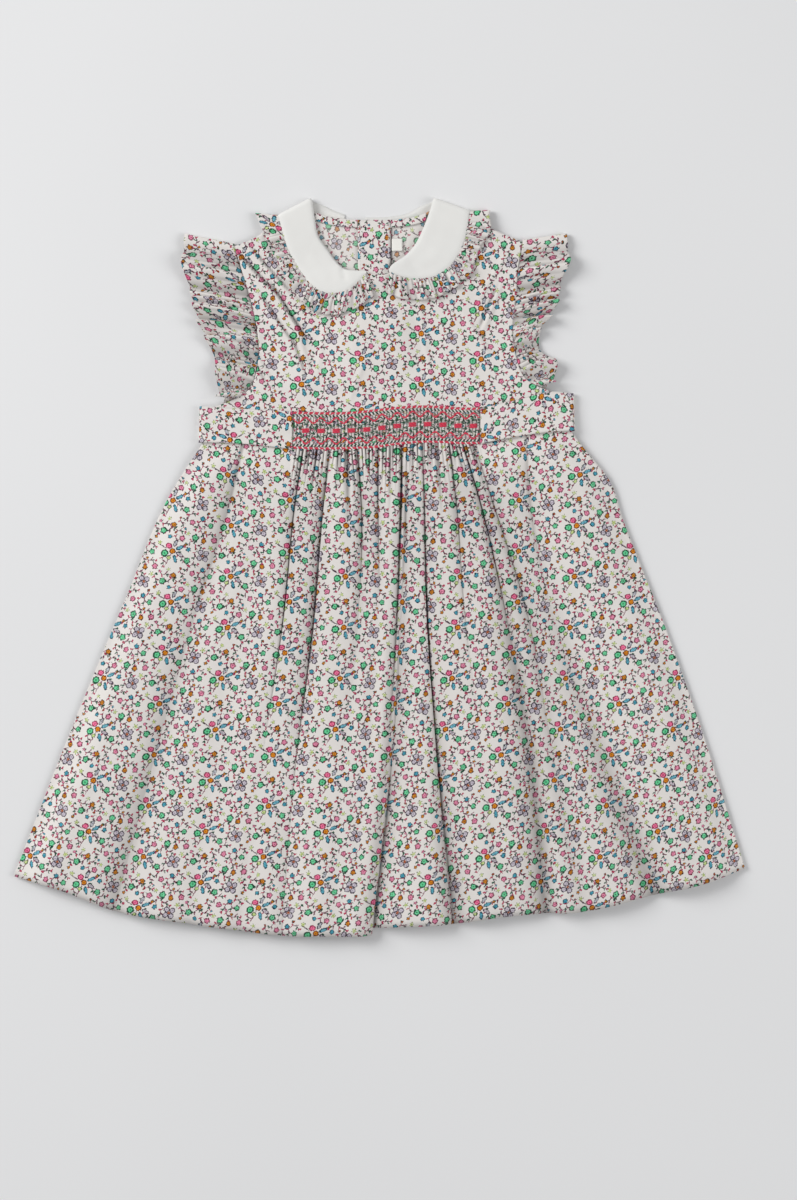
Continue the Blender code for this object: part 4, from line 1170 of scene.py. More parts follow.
    def gathers(self, waist_x: Array, below: Array) -> tuple[Array, Array]:
        """Heights of the gathers just under the smocking, and the painted shade in their valleys.

        Args:
            waist_x: each column's x at the waist.
            below: how far each point lies below the waist seam.

        Returns:
            Heights in millimetres, 0 away from the smocking, and painted shade as shares from 0 to 1.
        """
        source = np.random.default_rng(7)
        reach = source.uniform(9.0, 30.0, SMOCK_PLEATS + 1)
        height = source.uniform(0.5, 1.1, SMOCK_PLEATS + 1)
        phase = pleat_at(waist_x)
        number = np.clip(phase, 0, SMOCK_PLEATS)
        reach, height = (np.interp(number, range(SMOCK_PLEATS + 1), t) for t in (reach, height))
        inside = over(waist_x, SMOCKED_X[0] + self.gather_inset, SMOCKED_X[1] - self.gather_inset,
                      self.gather_inset)
        fade = np.exp(-(below / reach) ** 2)
        wave = 0.5 - 0.5 * np.cos(2 * np.pi * phase)
        total = self.gather_height * height * wave * fade
        # Painted shade in the gathers' valleys and along the short folds.
        painted_shade = 0.85 * (1 - wave) ** 2 * fade * np.clip(1.9 * height - 0.7, 0.15, 1.0)
        for x, depth, long in self.short_folds:
            line = np.exp(-((waist_x - x) / 1.1) ** 2) * np.exp(-(below / long) ** 3)
            total = total - depth * line * ramp(below / 6.0)
            painted_shade = np.maximum(painted_shade, 0.45 * depth * line)
        return inside * total, inside * np.clip(painted_shade, 0.0, 1.0)

    def back_grid(self) -> Array:
        """Middle surface of the back: low folds, and a little short at the sides and the hem."""
        last = len(self.folds) - 1
        rows, count = self.back_size
        down = np.insert(shares(rows), 0, 0.0)
        columns = np.broadcast_to(np.linspace(0.0, last, count), (len(down), count))
        plan = self.plan(columns, down)
        plan[..., 0] += np.interp(columns[0], (0, 1, last - 1, last), (1, 0, 0, -1)) * self.back_inset
        plan[..., 1] += self.back_hem_short * down[:, None] ** 4
        plan[0, :, 1] = height_at(BACK_WAIST, plan[0, :, 0]) - GAP
        x, y = plan[..., 0], plan[..., 1]
        width = np.interp(down, (0.0, 1.0), self.back_fold_width)[:, None]
        rise = np.zeros_like(x)
        for waist_x, hem_x, height in self.back_folds:
            line_x = (waist_x + (hem_x - waist_x) * down)[:, None]
            rise = np.maximum(rise, height * np.exp(-((x - line_x) / width) ** 2))
        edge = ramp(self.loft_over(plan, down) / self.loft[1])
        return np.dstack([x, y, Layers.back(x, y) + rise * edge + SHELL / 2])[::-1]

    def build(self, wardrobe: Wardrobe) -> None:
        """Build and dress the two skirts."""
        grid, places, painted_shade = self.front_grid()
        self.front.lay(self.front.sew(grid, wardrobe.right_up, places, painted_shade))
        self.back.lay(self.back.sew(self.back_grid(), wardrobe.wrong_up))


@dataclass(frozen=True)
class Stitch:
    """One short length of thread: its finish, place, turn in plan in degrees and half sizes."""

    finish: str
    place: Array
    turn: float
    half: tuple[float, float, float]


STITCH_RINGS = ((-1.0, 0.25), (-0.75, 0.8), (0.0, 1.0), (0.75, 0.8), (1.0, 0.25))
STITCH_SIDES = 6


def add_stitches(name: str, slot: str, stitches: Sequence[Stitch],
                 finishes: Mapping[str, Material]) -> Object:
    """Make and declare many short lengths of thread as one piece.

    Args:
        name: the piece's name.
        slot: the record's material slot, handed to declare.
        stitches: each length of thread.
        finishes: finishes by name.

    Returns:
        The piece.
    """
    sides = np.linspace(0.0, 2 * np.pi, STITCH_SIDES, endpoint=False)
    shape = np.array([(a, r * np.cos(t), r * np.sin(t)) for a, r in STITCH_RINGS for t in sides])
    number, sheet = turned_faces(len(STITCH_RINGS), STITCH_SIDES)
    caps = [ring[list(corners)] for ring in (number[0][::-1], number[-1])
            for corners in ((0, 1, 2, 3), (3, 4, 5, 0))]
    one = np.concatenate([sheet, np.array(caps)])
    points = []
    for stitch in stitches:
        cosine, sine = np.cos(np.radians(stitch.turn)), np.sin(np.radians(stitch.turn))
        spin = np.array([(cosine, -sine, 0.0), (sine, cosine, 0.0), (0.0, 0.0, 1.0)])
        points.append(shape * stitch.half @ spin.T + stitch.place)
    faces = one[None] + len(shape) * np.arange(len(stitches))[:, None, None]
    names = list(finishes)
    choice = np.repeat([names.index(stitch.finish) for stitch in stitches], len(one))
    piece = add_mesh(name, np.concatenate(points), faces.reshape(-1, 4), list(finishes.values()), choice)
    declare(piece, slot)
    return piece


@dataclass(frozen=True)
class ThreadRow:
    """One row of embroidery on the smocking.

    share is its place on the band's height; threads the order of its stitches; slant how far a
    stitch leans in degrees; wave how far the row swings up over each bar, thick the thread's
    radius, both in millimetres.
    """

    share: float
    threads: tuple[str, ...]
    slant: float
    wave: float
    thick: float


ROPE, ROSE = ("red", "red", "cream"), ("red",)
# The dark stitches are painted shadow, standing for the shadowed gaps between the green ones.
LEAF = ("green", "cream", "dark", "cream")


@dataclass(frozen=True)
class Waistband:
    """The waist inset: smocked pleats with rows of embroidery, plain under the sashes."""

    cloth: Cloth = Cloth("smocked_band_cloth", "smocked_waistband", (0.34, 0.028), Lie.GATHERED,
                         ("front_skirt_cloth",), slot="smocked_lawn", start=(37.0, 12.0))
    # flat cloth in a length of the smocking
    fullness: float = 2.4
    relief: float = 1.5
    # points on a pleat, up the band, and across each plain end
    points: int = 8
    row_count: int = 61
    plain_columns: int = 16
    # shares of the band's height, and how much of a pleat's height is left there
    pinch: Table = ((0.0, 0.5), (0.14, 0.95), (0.27, 0.8), (0.4, 0.95), (0.5, 0.6), (0.6, 0.95),
                    (0.73, 0.8), (0.86, 0.95), (1.0, 0.5))
    # how far the pleats lean to and from the bars, in pleats, and the edges that don't
    sway: Row = (0.22, 0.1)
    # how dark the painted shade in a valley is drawn, and the share of the width over which that dies away
    valley_shade: Row = (0.9, 0.02)
    rows: tuple[ThreadRow, ...] = (
        ThreadRow(0.985, ROPE, 50, 0, 0.6),
        ThreadRow(0.905, LEAF, -50, 0, 0.56),
        ThreadRow(0.785, ROSE, 35, 2, 0.54),
        ThreadRow(0.715, LEAF, -35, 2, 0.5),
        ThreadRow(0.62, ("green", "green", ""), 50, 1.5, 0.5),
        ThreadRow(0.38, ("", "green", "green"), -50, -1.5, 0.5),
        ThreadRow(0.285, LEAF, 35, -2, 0.5),
        ThreadRow(0.215, ROSE, -35, -2, 0.54),
        ThreadRow(0.095, LEAF, 50, 0, 0.56),
        ThreadRow(0.015, ROPE, -50, 0, 0.6),
    )
    # a row's stitches: their step, length and sink, and the margins at its ends
    stitch_step: float = 1.3
    stitch_length: float = 2.3
    stitch_sink: float = 0.15
    margins: Row = (0.6, 0.3)
    # the bars of red thread along the middle
    bars: int = 12
    first_bar: float = -52.9
    bar_step: float = 10.94
    bar_size: Row = (5.8, 2.8)
    bar_threads: int = 4
    bar_slant: float = 4.0
    bar_radius: float = 0.42

    def top(self, x: Array, share: Array) -> Array:
        """Points on the band's smooth top, without its pleats, in millimetres."""
        low, high = height_at(WAIST_BOTTOM, x), height_at(WAIST_TOP, x)
        y = low + (high - low) * share
        return np.dstack([np.broadcast_to(x, y.shape), y, Layers.front(x, y) + LAWN])

    def swing(self, x: Array) -> Array:
        """How far each x is round from a bar to the next, in radians."""
        return 2 * np.pi * (x - self.first_bar) / self.bar_step

    def kept(self, share: Array) -> Array:
        """How much of a pleat's height is left at shares of the band's height."""
        return np.interp(share, *np.transpose(self.pinch))

    def pleats(self, x: Array, share: Array) -> Grid:
        """Height of the smocked pleats over the band, and the painted shade in their valleys.

        Args:
            x, share: places across the band in millimetres, and up it as shares of its height.

        Returns:
            Heights in millimetres, and painted shade as shares from 0 to 1.
        """
        lean, edge = self.sway
        inside = ramp((0.5 - abs(share - 0.5)) / edge)
        phase = pleat_at(x) + lean * np.sin(self.swing(x)) * np.sin(2 * np.pi * share) * inside
        ridge = np.abs(np.sin(np.pi * phase))
        start, end = SMOCKED_X
        within = (x > start) & (x < end)
        # Painted shade in the valleys between pleats, fading towards the smocking's ends.
        dark, run = self.valley_shade
        ends = ramp((0.5 - abs(x - (start + end) / 2) / (end - start)) / run)
        return (np.where(within, self.relief * ridge ** 0.8 * self.kept(share), 0.0),
                np.where(within, dark * (1 - ridge) ** 2.2 * ends, 0.0))

    def grid(self) -> Grid:
        """Middle surface of the band, and its painted shade."""
        start, end = WAIST_TOP[0][0], WAIST_TOP[-1][0]
        x = np.concatenate([np.linspace(start, SMOCKED_X[0], self.plain_columns)[:-1],
                            np.linspace(*SMOCKED_X, self.points * SMOCK_PLEATS + 1),
                            np.linspace(SMOCKED_X[1], end, self.plain_columns)[1:]])
        share = shares(self.row_count)[:, None]
        grid = self.top(x[None], share)
        height, painted_shade = self.pleats(x[None], share)
        grid[..., 2] += height - SHELL / 2
        return grid, painted_shade

    def row_stitches(self) -> list[Stitch]:
        """Every stitch of the rows of embroidery."""
        found = []
        start, end = self.margins
        x = np.arange(SMOCKED_X[0] + start, SMOCKED_X[1] - end, self.stitch_step)
        height = height_at(WAIST_TOP, x) - height_at(WAIST_BOTTOM, x)
        turn = self.swing(x)
        for row in self.rows:
            half = (self.stitch_length / 2, row.thick, row.thick)
            share = row.share + row.wave * np.cos(turn) / height
            slope = -row.wave * 2 * np.pi / self.bar_step * np.sin(turn)
            lean = np.degrees(np.arctan(slope)) + row.slant
            places = self.top(x[None], share[None])[0]
            places[:, 2] += self.relief * self.kept(share) - self.stitch_sink
            threads = (row.threads * len(x))[:len(x)]
            found += [Stitch(*each, half) for each in zip(threads, places, lean) if each[0]]
        return found

    def bar_stitches(self) -> list[Stitch]:
        """Every thread of the bars along the middle."""
        long, wide = self.bar_size
        half = (long / 2, self.bar_radius * 1.1, self.bar_radius * 1.4)
        found = []
        for x in self.first_bar + self.bar_step * np.arange(self.bars):
            place = self.top(np.array([[x]]), np.array([[0.5]]))[0, 0]
            for share in np.linspace(-0.5, 0.5, self.bar_threads):
                moved = place + (0.0, (wide - self.bar_radius) * share, self.relief * 0.8)
                found.append(Stitch("red", moved, self.bar_slant, half))
        return found

    def build(self, wardrobe: Wardrobe) -> None:
        """Build and dress the band and its embroidery."""
        grid, painted_shade = self.grid()
        places = np.dstack([self.fullness * run_lengths(grid, 1), grid[..., 1]])
        band = self.cloth.sew(grid, wardrobe.right_up, places, painted_shade)
        stitches = self.row_stitches() + self.bar_stitches()
        self.cloth.lay(band, add_stitches("smocking_threads", "smocked_lawn", stitches,
                                          wardrobe.threads))


# ------------ bodice
SHOULDER_LEFT = ((-104, 230), (-88, 237), (-80, 243), (-72, 248), (-51, 260.5))
SHOULDER_RIGHT = ((41, 260.5), (63, 251), (75, 245.5), (80, 243), (103, 233))
FRONT_NECK = ((-51, 260.5), (-48.3, 249), (-45.5, 236), (-36, 221.5), (-27, 212.5), (-9, 210.3),
              (7, 210.8), (11, 215), (18, 219.5), (27, 229), (33.4, 242), (38.3, 255), (41, 260.5))
BACK_NECK = ((-51, 260.5), (-48, 255.5), (-42, 252.8), (-36, 251.2), (-21, 249.4), (-5, 249),
             (15, 249.6), (28, 252), (34, 254.5), (39, 257.8), (41, 260.5))
ARMHOLE_LEFT = ((-122, 113.6), (-111, 117.5), (-94, 127), (-87, 149), (-88, 170), (-95, 199),
                (-104, 230))
ARMHOLE_RIGHT = ((134, 123.1), (120, 127), (105, 135), (98, 152), (96, 170), (98, 192),
                 (100, 213), (103, 233))
BAND_X = (-15.5, 8.0)


@dataclass(frozen=True)
class BackHalf:
    """Half of the back: its armhole, its shoulder and neck edge from left to right, its ends."""

    side: str
    armhole: Table
    top: tuple[Table, Table]
    ends: tuple[float, float]
    points: int = 61

    def at_waist(self, share: Array) -> Array:
        """Points on the waist seam."""
        start, end = self.ends
        x = start + (end - start) * share
        return np.column_stack([x, height_at(BACK_WAIST, x)])

    def at_opening(self, share: Array) -> Array:
        """Points on the edge at the back opening."""
        x = self.ends[1] if self.side == "left" else self.ends[0]
        foot, head = float(height_at(BACK_WAIST, x)), float(height_at(BACK_NECK, x))
        return np.column_stack([np.full_like(share, x), foot + (head - foot) * share])

    def at_armhole(self, share: Array) -> Array:
        """Points on the armhole edge, down to the waist seam."""
        foot = self.at_waist(np.array([0.0 if self.side == "left" else 1.0]))[0]
        return np.where(share[:, None] > 0, curve(self.armhole, share), foot)

    def grid(self) -> Array:
        """Middle surface of the half."""
        edges = (self.at_armhole, self.at_opening)
        even = shares(self.points)
        plan = coons(self.at_waist, chain(self.top, (0.0, 0.5, 1.0)),
                     *(edges if self.side == "left" else edges[::-1]), even, even)
        return np.dstack([plan, Layers.back(plan[..., 0], plan[..., 1]) + LAWN - SHELL / 2])

    def build(self, wardrobe: Wardrobe) -> None:
        """Build and dress the half."""
        cloth = Cloth(f"back_bodice_cloth_{self.side}", f"bodice_back_{self.side}", (0.145, 0.165),
                      Lie.LAID, (f"collar_{self.side}_cloth",), 0.019, start=(150.0, 31.0))
        cloth.lay(cloth.sew(self.grid(), wardrobe.wrong_up), f"neck_facing_cloth_{self.side}")


@dataclass(frozen=True)
class Bodice:
    """The front bodice and the two halves of the back one, between the armholes."""

    front: Cloth = Cloth("front_bodice_cloth", "bodice_front", (0.26, 0.152), Lie.LAID,
                         ("back_bodice_cloth_left", "back_bodice_cloth_right"), 0.029,
                         start=(24.0, 8.0))
    size: tuple[int, int] = (121, 181)
    # where the shoulders and the neck start on the top edge
    top_shares: Row = (0.0, 0.25, 0.75, 1.0)

    def at_waist(self, share: Array) -> Array:
        """Points on the front's waist seam."""
        x = ARMHOLE_LEFT[0][0] + (ARMHOLE_RIGHT[0][0] - ARMHOLE_LEFT[0][0]) * share
        return np.column_stack([x, height_at(WAIST_TOP, x) + GAP])

    def front_grid(self) -> Grid:
        """Middle surface of the front, and the painted shade in its pressed hollows."""
        rows, columns = (shares(count) for count in self.size)
        plan = coons(self.at_waist, chain((SHOULDER_LEFT, FRONT_NECK, SHOULDER_RIGHT), self.top_shares),
                     partial(curve, ARMHOLE_LEFT), partial(curve, ARMHOLE_RIGHT), columns, rows)
        height, shaded_hollows = Layers.pressed(plan[..., 0], plan[..., 1])
        return np.dstack([plan, height - SHELL / 2]), shaded_hollows

    def halves(self) -> tuple[BackHalf, BackHalf]:
        """The left and the right half of the back, which meet beside the button band."""
        edge, next_edge = BAND_X[1], BAND_X[1] + GAP
        cut, next_cut = ((x, float(height_at(BACK_NECK, x))) for x in (edge, next_edge))
        left_neck = (SHOULDER_LEFT[-1], *(row for row in BACK_NECK[1:] if row[0] < edge), cut)
        right_neck = (next_cut, *(row for row in BACK_NECK[:-1] if row[0] > edge), SHOULDER_RIGHT[0])
        return (BackHalf("left", ARMHOLE_LEFT, (SHOULDER_LEFT, left_neck), (ARMHOLE_LEFT[0][0], edge)),
                BackHalf("right", ARMHOLE_RIGHT, (right_neck, SHOULDER_RIGHT),
                         (next_edge, ARMHOLE_RIGHT[0][0])))

    def build(self, wardrobe: Wardrobe) -> None:
        """Build and dress the three panels."""
        grid, shaded_hollows = self.front_grid()
        self.front.lay(self.front.sew(grid, wardrobe.right_up, painted_shade=shaded_hollows))
        for half in self.halves():
            half.build(wardrobe)


@dataclass(frozen=True)
class Button:
    """A flat button with eased rims and a dished face, given as radii and heights."""

    radius: float = 4.7
    thick: float = 1.2
    ease: float = 0.35
    dish: Table = ((1.0, 0.25), (2.9, 0.25), (3.3, 0.0))
    sides: int = 32

    def build(self, number: int, x: float, y: float, wardrobe: Wardrobe) -> None:
        """Build and dress one of the buttons.

        Args:
            number: its place on the opening, from the waist up.
            x, y: its middle in plan.
            wardrobe: every finish.
        """
        out, thick, ease = self.radius, self.thick, self.ease
        profile = (*self.dish, (out - ease, 0.0), (out, ease), (out, thick - ease),
                   (out - ease, thick), (self.dish[0][0], thick))
        turns = np.linspace(0.0, 2 * np.pi, self.sides, endpoint=False)
        points = np.array([(x + r * np.cos(t), y + r * np.sin(t), z) for r, z in profile for t in turns])
        rings, faces = turned_faces(len(profile), self.sides)
        start = np.arange(self.sides // 2 - 1)
        strips = np.stack([start, start + 1, self.sides - 2 - start, self.sides - 1 - start], axis=-1)
        faces = np.concatenate([faces, rings[0][strips[:, ::-1]], rings[-1][strips]])
        piece = add_mesh(f"button_{number}", points, faces, [wardrobe.pearl])
        piece.data.set_sharp_from_angle(angle=SHARP)
        declare(piece, "pearl_button", f"back_button_{number}")


@dataclass(frozen=True)
class BackOpening:
    """Button band, neck facings, label and three buttons of the back opening."""

    band: Cloth = Cloth("button_band_cloth", "back_placket", (0.0235, 0.131), Lie.FOLDED,
                        ("back_bodice_cloth_left",), start=(71.0, 19.0))
    label: Cloth = Cloth("size_label", "label", slot="white_cotton")
    # rows and columns of points on the band, a facing and the label
    band_size: tuple[int, int] = (49, 13)
    facing_size: tuple[int, int] = (7, 41)
    label_points: int = 9
    band_foot_y: float = 119.0
    facing_width: float = 5.5
    facing_ends: Row = (-46.5, 33.5)
    label_corner: Row = (8.9, 226.6)
    label_size: Row = (7.6, 9.0)
    button: Button = Button()
    button_y: Row = (136.0, 166.0, 196.0)
    # the band's stitches: their inset, what they leave free at its ends, step and half sizes
    stitch_inset: float = 1.6
    stitch_ends: Row = (2.0, 1.0)
    stitch_step: float = 3.0
    stitch_half: Row = (1.25, 0.2, 0.12)

    def on_back(self, x: Array, y: Array, thickness: float) -> Array:
        """Middle surface of a strip whose top lies a wall's thickness over the back's inside."""
        height = Layers.back(x, y) + LAWN + GAP + thickness - SHELL / 2
        return np.dstack([*np.broadcast_arrays(x, y), height])

    def stitches(self, head: float) -> list[Stitch]:
        """Stitches down both sides of the button band, from its head's y."""
        found = []
        first, last = self.stitch_ends
        for x in (BAND_X[0] + self.stitch_inset, BAND_X[1] - self.stitch_inset):
            for y in np.arange(self.band_foot_y + first, head - last, self.stitch_step):
                height = float(Layers.back(np.array(x), np.array(y))) + TURN + LAWN
                found.append(Stitch("sewing", np.array([x, y, height]), 90.0, self.stitch_half))
        return found

    def sew_band(self, wardrobe: Wardrobe) -> None:
        """Build and dress the button band and its stitches."""
        rows, columns = self.band_size
        share = shares(rows)[:, None]
        x = np.linspace(*BAND_X, columns)[None]
        y = self.band_foot_y + (height_at(BACK_NECK, x) - self.band_foot_y) * share
        grid = self.on_back(x, y, LAWN)
        band = self.band.sew(grid, wardrobe.right_up)
        self.band.lay(band, add_stitches("button_band_stitches", "white_cotton",
                                         self.stitches(grid[-1, 0, 1]), wardrobe.sewing))

    def sew_facing(self, side: str, start: float, end: float, wardrobe: Wardrobe) -> None:
        """Build and dress the neck facing of one side, from its left end's x to its right's."""
        rows, columns = self.facing_size
        x = np.linspace(start, end, columns)[None]
        drop = self.facing_width * np.linspace(1.0, 0.0, rows)[:, None]
        cloth = Cloth(f"neck_facing_cloth_{side}", f"neck_facing_{side}", start=(18.0, 3.0))
        cloth.sew(self.on_back(x, height_at(BACK_NECK, x) - drop, BINDING), wardrobe.right_up)

    def build(self, wardrobe: Wardrobe) -> None:
        """Build and dress every piece of the opening."""
        self.sew_band(wardrobe)
        self.sew_facing("left", self.facing_ends[0], BAND_X[0] - GAP, wardrobe)
        self.sew_facing("right", BAND_X[1] + GAP, self.facing_ends[1], wardrobe)
        x, y = (np.linspace(0.0, size, self.label_points) + start
                for start, size in zip(self.label_corner, self.label_size))
        self.label.sew(self.on_back(x[None], y[:, None], BINDING), wardrobe.label)
        for number, y in enumerate(self.button_y, start=1):
            self.button.build(number, sum(BAND_X) / 2, y, wardrobe)


# ------------ collar and frills
@dataclass(frozen=True)
class Gathers:
    """Uneven gathers along a frill.

    count is how many there are; rise their height in millimetres; lean how far their tops fall
    over to one side; drift and swell how their spacing and height vary: size, cycles, phase.
    """

    count: float
    rise: float
    lean: float
    drift: Row
    swell: Row

    def at(self, share: Array) -> Array:
        """Heights from 0 to 1 at shares of the frill: round tops and narrow valleys."""
        drift, swell = (size * np.sin(2 * np.pi * share * cycles + phase)
                        for size, cycles, phase in (self.drift, self.swell))
        wave = np.abs(np.sin(np.pi * (self.count * share + drift))) ** 1.2
        return (1.0 - self.swell[0] + swell) * wave


@dataclass(frozen=True)
class Frill:
    """A strip gathered into a seam: up the front, over the shoulder and down the back.

    large holds the waves that grow to the free edge, fine the small ones that start at the seam;
    size how many points it has up the front and across.
    """

    cloth: Cloth
    large: Gathers
    fine: Gathers
    size: tuple[int, int]
    # share of its length over which its gathers die away at the shoulder
    end: float = 0.12
    # every which row of the front's the back has too
    back_step: int = 4
    # how the gathers wander along the strip towards its free edge: share, cycles, phase
    wander: Row = (0.025, 2.3, 0.3)
    # how far a wave draws the free edge out over its rise, and how tall it has to be
    pull: Row = (0.42, 0.6)
    # how dark the painted shade is drawn in a closed gather, in a valley at the free edge and along the
    # seam
    shades: Row = (0.5, 0.25, 0.2)

    def gather(self, front: Array) -> tuple[Array, Array, Array]:
        """Lay the front's flat plan into gathers.

        Args:
            front: plan (rows, columns, 2) from the seam to the free edge.

        Returns:
            The plan with its gathers leaning over, their heights, and the painted shade in its gathers and
            along its seam.
        """
        large, fine = self.large, self.fine
        share, across = shares(self.size[0])[:, None], shares(self.size[1])[None]
        ends = ramp((1 - share) / self.end)
        size, cycles, phase = self.wander
        fanned = share + size * across * np.sin(2 * np.pi * (cycles * share + phase))
        broad, narrow = (wave.at(fanned) * ends for wave in (large, fine))
        spread = across ** 0.8
        seamed = np.sin(np.pi * (0.12 + 0.8 * across)) ** 1.5
        height = large.rise * spread * broad + fine.rise * seamed * narrow
        lean = large.lean * spread * broad + fine.lean * seamed * narrow
        draw, middle = self.pull
        pulled = draw * large.rise * spread * (broad - middle * ends)
        plan = (front + unit(np.gradient(front, axis=0)) * lean[..., None]
                + unit(front[:, -1:] - front[:, :1]) * pulled[..., None])
        # Painted shade in closed gathers, in valleys at the free edge and along the seam.
        shaded_hollows = np.clip(1 - 1.8 * narrow, 0, 1) * (1 - 0.6 * across)
        folded = np.clip(1 - 2.4 * broad, 0, 1) * spread
        at_gather, at_valley, at_seam = self.shades
        painted_shade = at_gather * shaded_hollows + at_valley * folded + at_seam * np.exp(-across / 0.06)
        return plan, height, ends * np.clip(painted_shade, 0, 1)

    def sew(self, front: Array, painted_shade: Array, back: Array, outward: Array, sides: Faces) -> None:
        """Fold the strip over the shoulder, and make and declare its piece.

        Args:
            front: middle surface of its front (rows, columns, 3).
            painted_shade: the painted shade on the front, in its gathers and along its seam.
            back: flat plan of its back (rows, columns, 2).
            outward: plan direction in which its fold reaches out.
            sides: finishes of its upper and its lower side.
        """
        grid = over_fold(front[..., :2], front[..., 2], back, SHELL / 2, outward)
        shade = np.concatenate([painted_shade, np.zeros((len(grid) - len(painted_shade), grid.shape[1]))])
        turned = facing_up(grid)
        shade = shade if turned is grid else shade[:, ::-1]
        self.cloth.lay(self.cloth.sew(turned, sides, flat_places(turned), shade))


@dataclass(frozen=True)
class CollarHalf:
    """Half of the collar with its frill: over the front, round the shoulder and under the back.

    A row of front and back holds a point of the neck edge and one of the outer edge; turn is 1
    where the outer edge lies to the right of the way up it, and -1 where it lies to the left.
    """

    side: str
    turn: int
    front: Table
    back: Table
    frill_front: Table
    frill_back: Table
    dimples: Table
    # how far inside the outer edge the frill is sewn, and how far its free edge lifts
    tuck: float = 1.4
    frill_lift: float = 0.25
    # rows up the front and down the back, and columns
    rows: tuple[int, int] = (111, 45)
    columns: int = 25
    # how deep its edges roll under and how far in that reaches
    roll: Row = (0.7, 1.7)
    # unevenness: height, size and seed
    uneven: tuple[float, float, int] = (0.16, 30.0, 31)

    def plan(self, table: Table, count: int) -> Array:
        """Plan rows across the collar between its two edges."""
        ends = curve(table, shares(count))
        return blend(ends[:, :2], ends[:, 2:], shares(self.columns) ** 0.8)

    def grid(self) -> Array:
        """Middle surface of the collar."""
        front, back = (self.plan(*pair) for pair in zip((self.front, self.back), self.rows))
        x, y = front[..., 0], front[..., 1]
        width = run_lengths(front, 1)
        depth, reach = self.roll
        rolled = depth * np.exp(-(np.minimum(width, width[:, -1:] - width) / reach) ** 1.5)
        uneven, *kind = self.uneven
        height = (Layers.bodice(x, y) + LIE_GAP + WHITE - COLLAR_SHELL / 2 - rolled
                  + uneven * crumple(x, y, *kind) + creased(x, y, self.dimples))
        outward = outward_of(front[-1], front[0].mean(axis=0))
        return facing_up(over_fold(front, height, back, COLLAR_SHELL / 2, outward))

    def seam(self, table: Table, turn: int, share: Array) -> Array:
        """Points just inside the outer edge of the front or back, where the frill is sewn in."""
        points = curve(table, share)[:, 2:]
        run = np.gradient(points, axis=0)
        return points - turn * self.tuck * unit(np.column_stack([run[:, 1], -run[:, 0]]))

    def sew_frill(self, sides: Faces) -> None:
        """Build and dress the frill."""
        frill = Frill(Cloth(f"collar_frill_{self.side}_cloth", f"collar_frill_{self.side}",
                            (0.26, 0.0155), Lie.GATHERED, ("front_bodice_cloth",), start=(5.0, 21.0)),
                      Gathers(13.0, 2.4, 1.6, (0.35, 2.3, 0.6), (0.25, 3.7, 1.1)),
                      Gathers(31.0, 1.3, 0.5, (0.3, 3.1, 0.2), (0.3, 4.3, 2.0)), (241, 15))
        share, across = (shares(count) for count in frill.size)
        flat, back = (blend(self.seam(table, turn, rows), curve(edge, rows), across)
                      for table, edge, turn, rows in (
                          (self.front, self.frill_front, self.turn, share),
                          (self.back, self.frill_back, -self.turn, share[::frill.back_step])))
        plan, gather, painted_shade = frill.gather(flat)
        plan[0] = flat[0]
        lowest = Layers.bodice(plan[..., 0], plan[..., 1]) + LIE_GAP + SHELL / 2
        front = np.dstack([plan, lowest + self.frill_lift * across[None] + gather])
        outward = outward_of(np.reshape(self.front[-1], (2, 2)), np.array(self.front[0][:2]))
        frill.sew(front, painted_shade, back, outward, sides)

    def build(self, wardrobe: Wardrobe) -> None:
        """Build and dress the collar half and its frill."""
        collar = Cloth(f"collar_{self.side}_cloth", f"collar_{self.side}", (0.165, 0.03), Lie.FOLDED,
                       ("front_bodice_cloth",), 0.0042, "white_cotton", thick=COLLAR_SHELL)
        grid = self.grid()
        collar.lay(collar.sew(grid, wardrobe.white, flat_places(grid)))
        self.sew_frill(wardrobe.right_up)


COLLARS = (
    CollarHalf(
        "left", -1,
        ((-9, 212, -9.5, 210), (-17, 212.3, -18, 201.5), (-25, 213.5, -28, 196.5),
         (-31, 218.5, -38, 196.3), (-37, 227, -48.5, 201.5), (-43.6, 236.5, -57.5, 213),
         (-46.4, 249.5, -67, 231.5), (-48.2, 262.5, -71.9, 250)),
        ((-48.2, 262.5, -71.9, 250), (-40.5, 259.8, -66, 238), (-33, 256.3, -52, 227),
         (-27, 254, -38, 222), (-25, 253.3, -26, 224)),
        ((-4, 194), (-17, 185), (-31, 180.5), (-47, 183), (-57, 191.5), (-69, 210), (-80, 232),
         (-88, 251.8)),
        ((-88, 251.8), (-79, 232), (-62, 215), (-44, 209.5), (-31, 209.8), (-21.5, 214)),
        ((-27, 215, -24, 205, -0.8, 2.5), (-36, 206, -50, 222, 0.35, 4.0)),
    ),
    CollarHalf(
        "right", 1,
        ((6.8, 213, 7, 211), (8.6, 216, 16.2, 208.2), (12.5, 219, 26, 206.3),
         (19, 223.5, 38, 207.8), (25.5, 231, 49.3, 214.2), (31.3, 242.3, 58, 226.4),
         (36.4, 256, 63, 242), (38.4, 262.43, 64.4, 253.1)),
        ((38.4, 262.43, 64.4, 253.1), (30.5, 259.6, 58, 240), (20, 254, 44, 227),
         (6, 251.6, 25, 220), (-5, 251.2, 5, 218.5), (-10, 251.2, -9, 221)),
        ((6, 195), (22, 191), (37, 192.3), (54, 199.5), (65, 210.5), (73, 230), (80, 242),
         (79, 253.8)),
        ((79, 253.8), (70, 234), (52, 215.5), (28, 209), (2, 208), (-14, 211)),
        ((26, 214, 44, 226, 0.4, 4.5), (20, 221, 30, 210, -0.3, 3.5)),
    ),
)


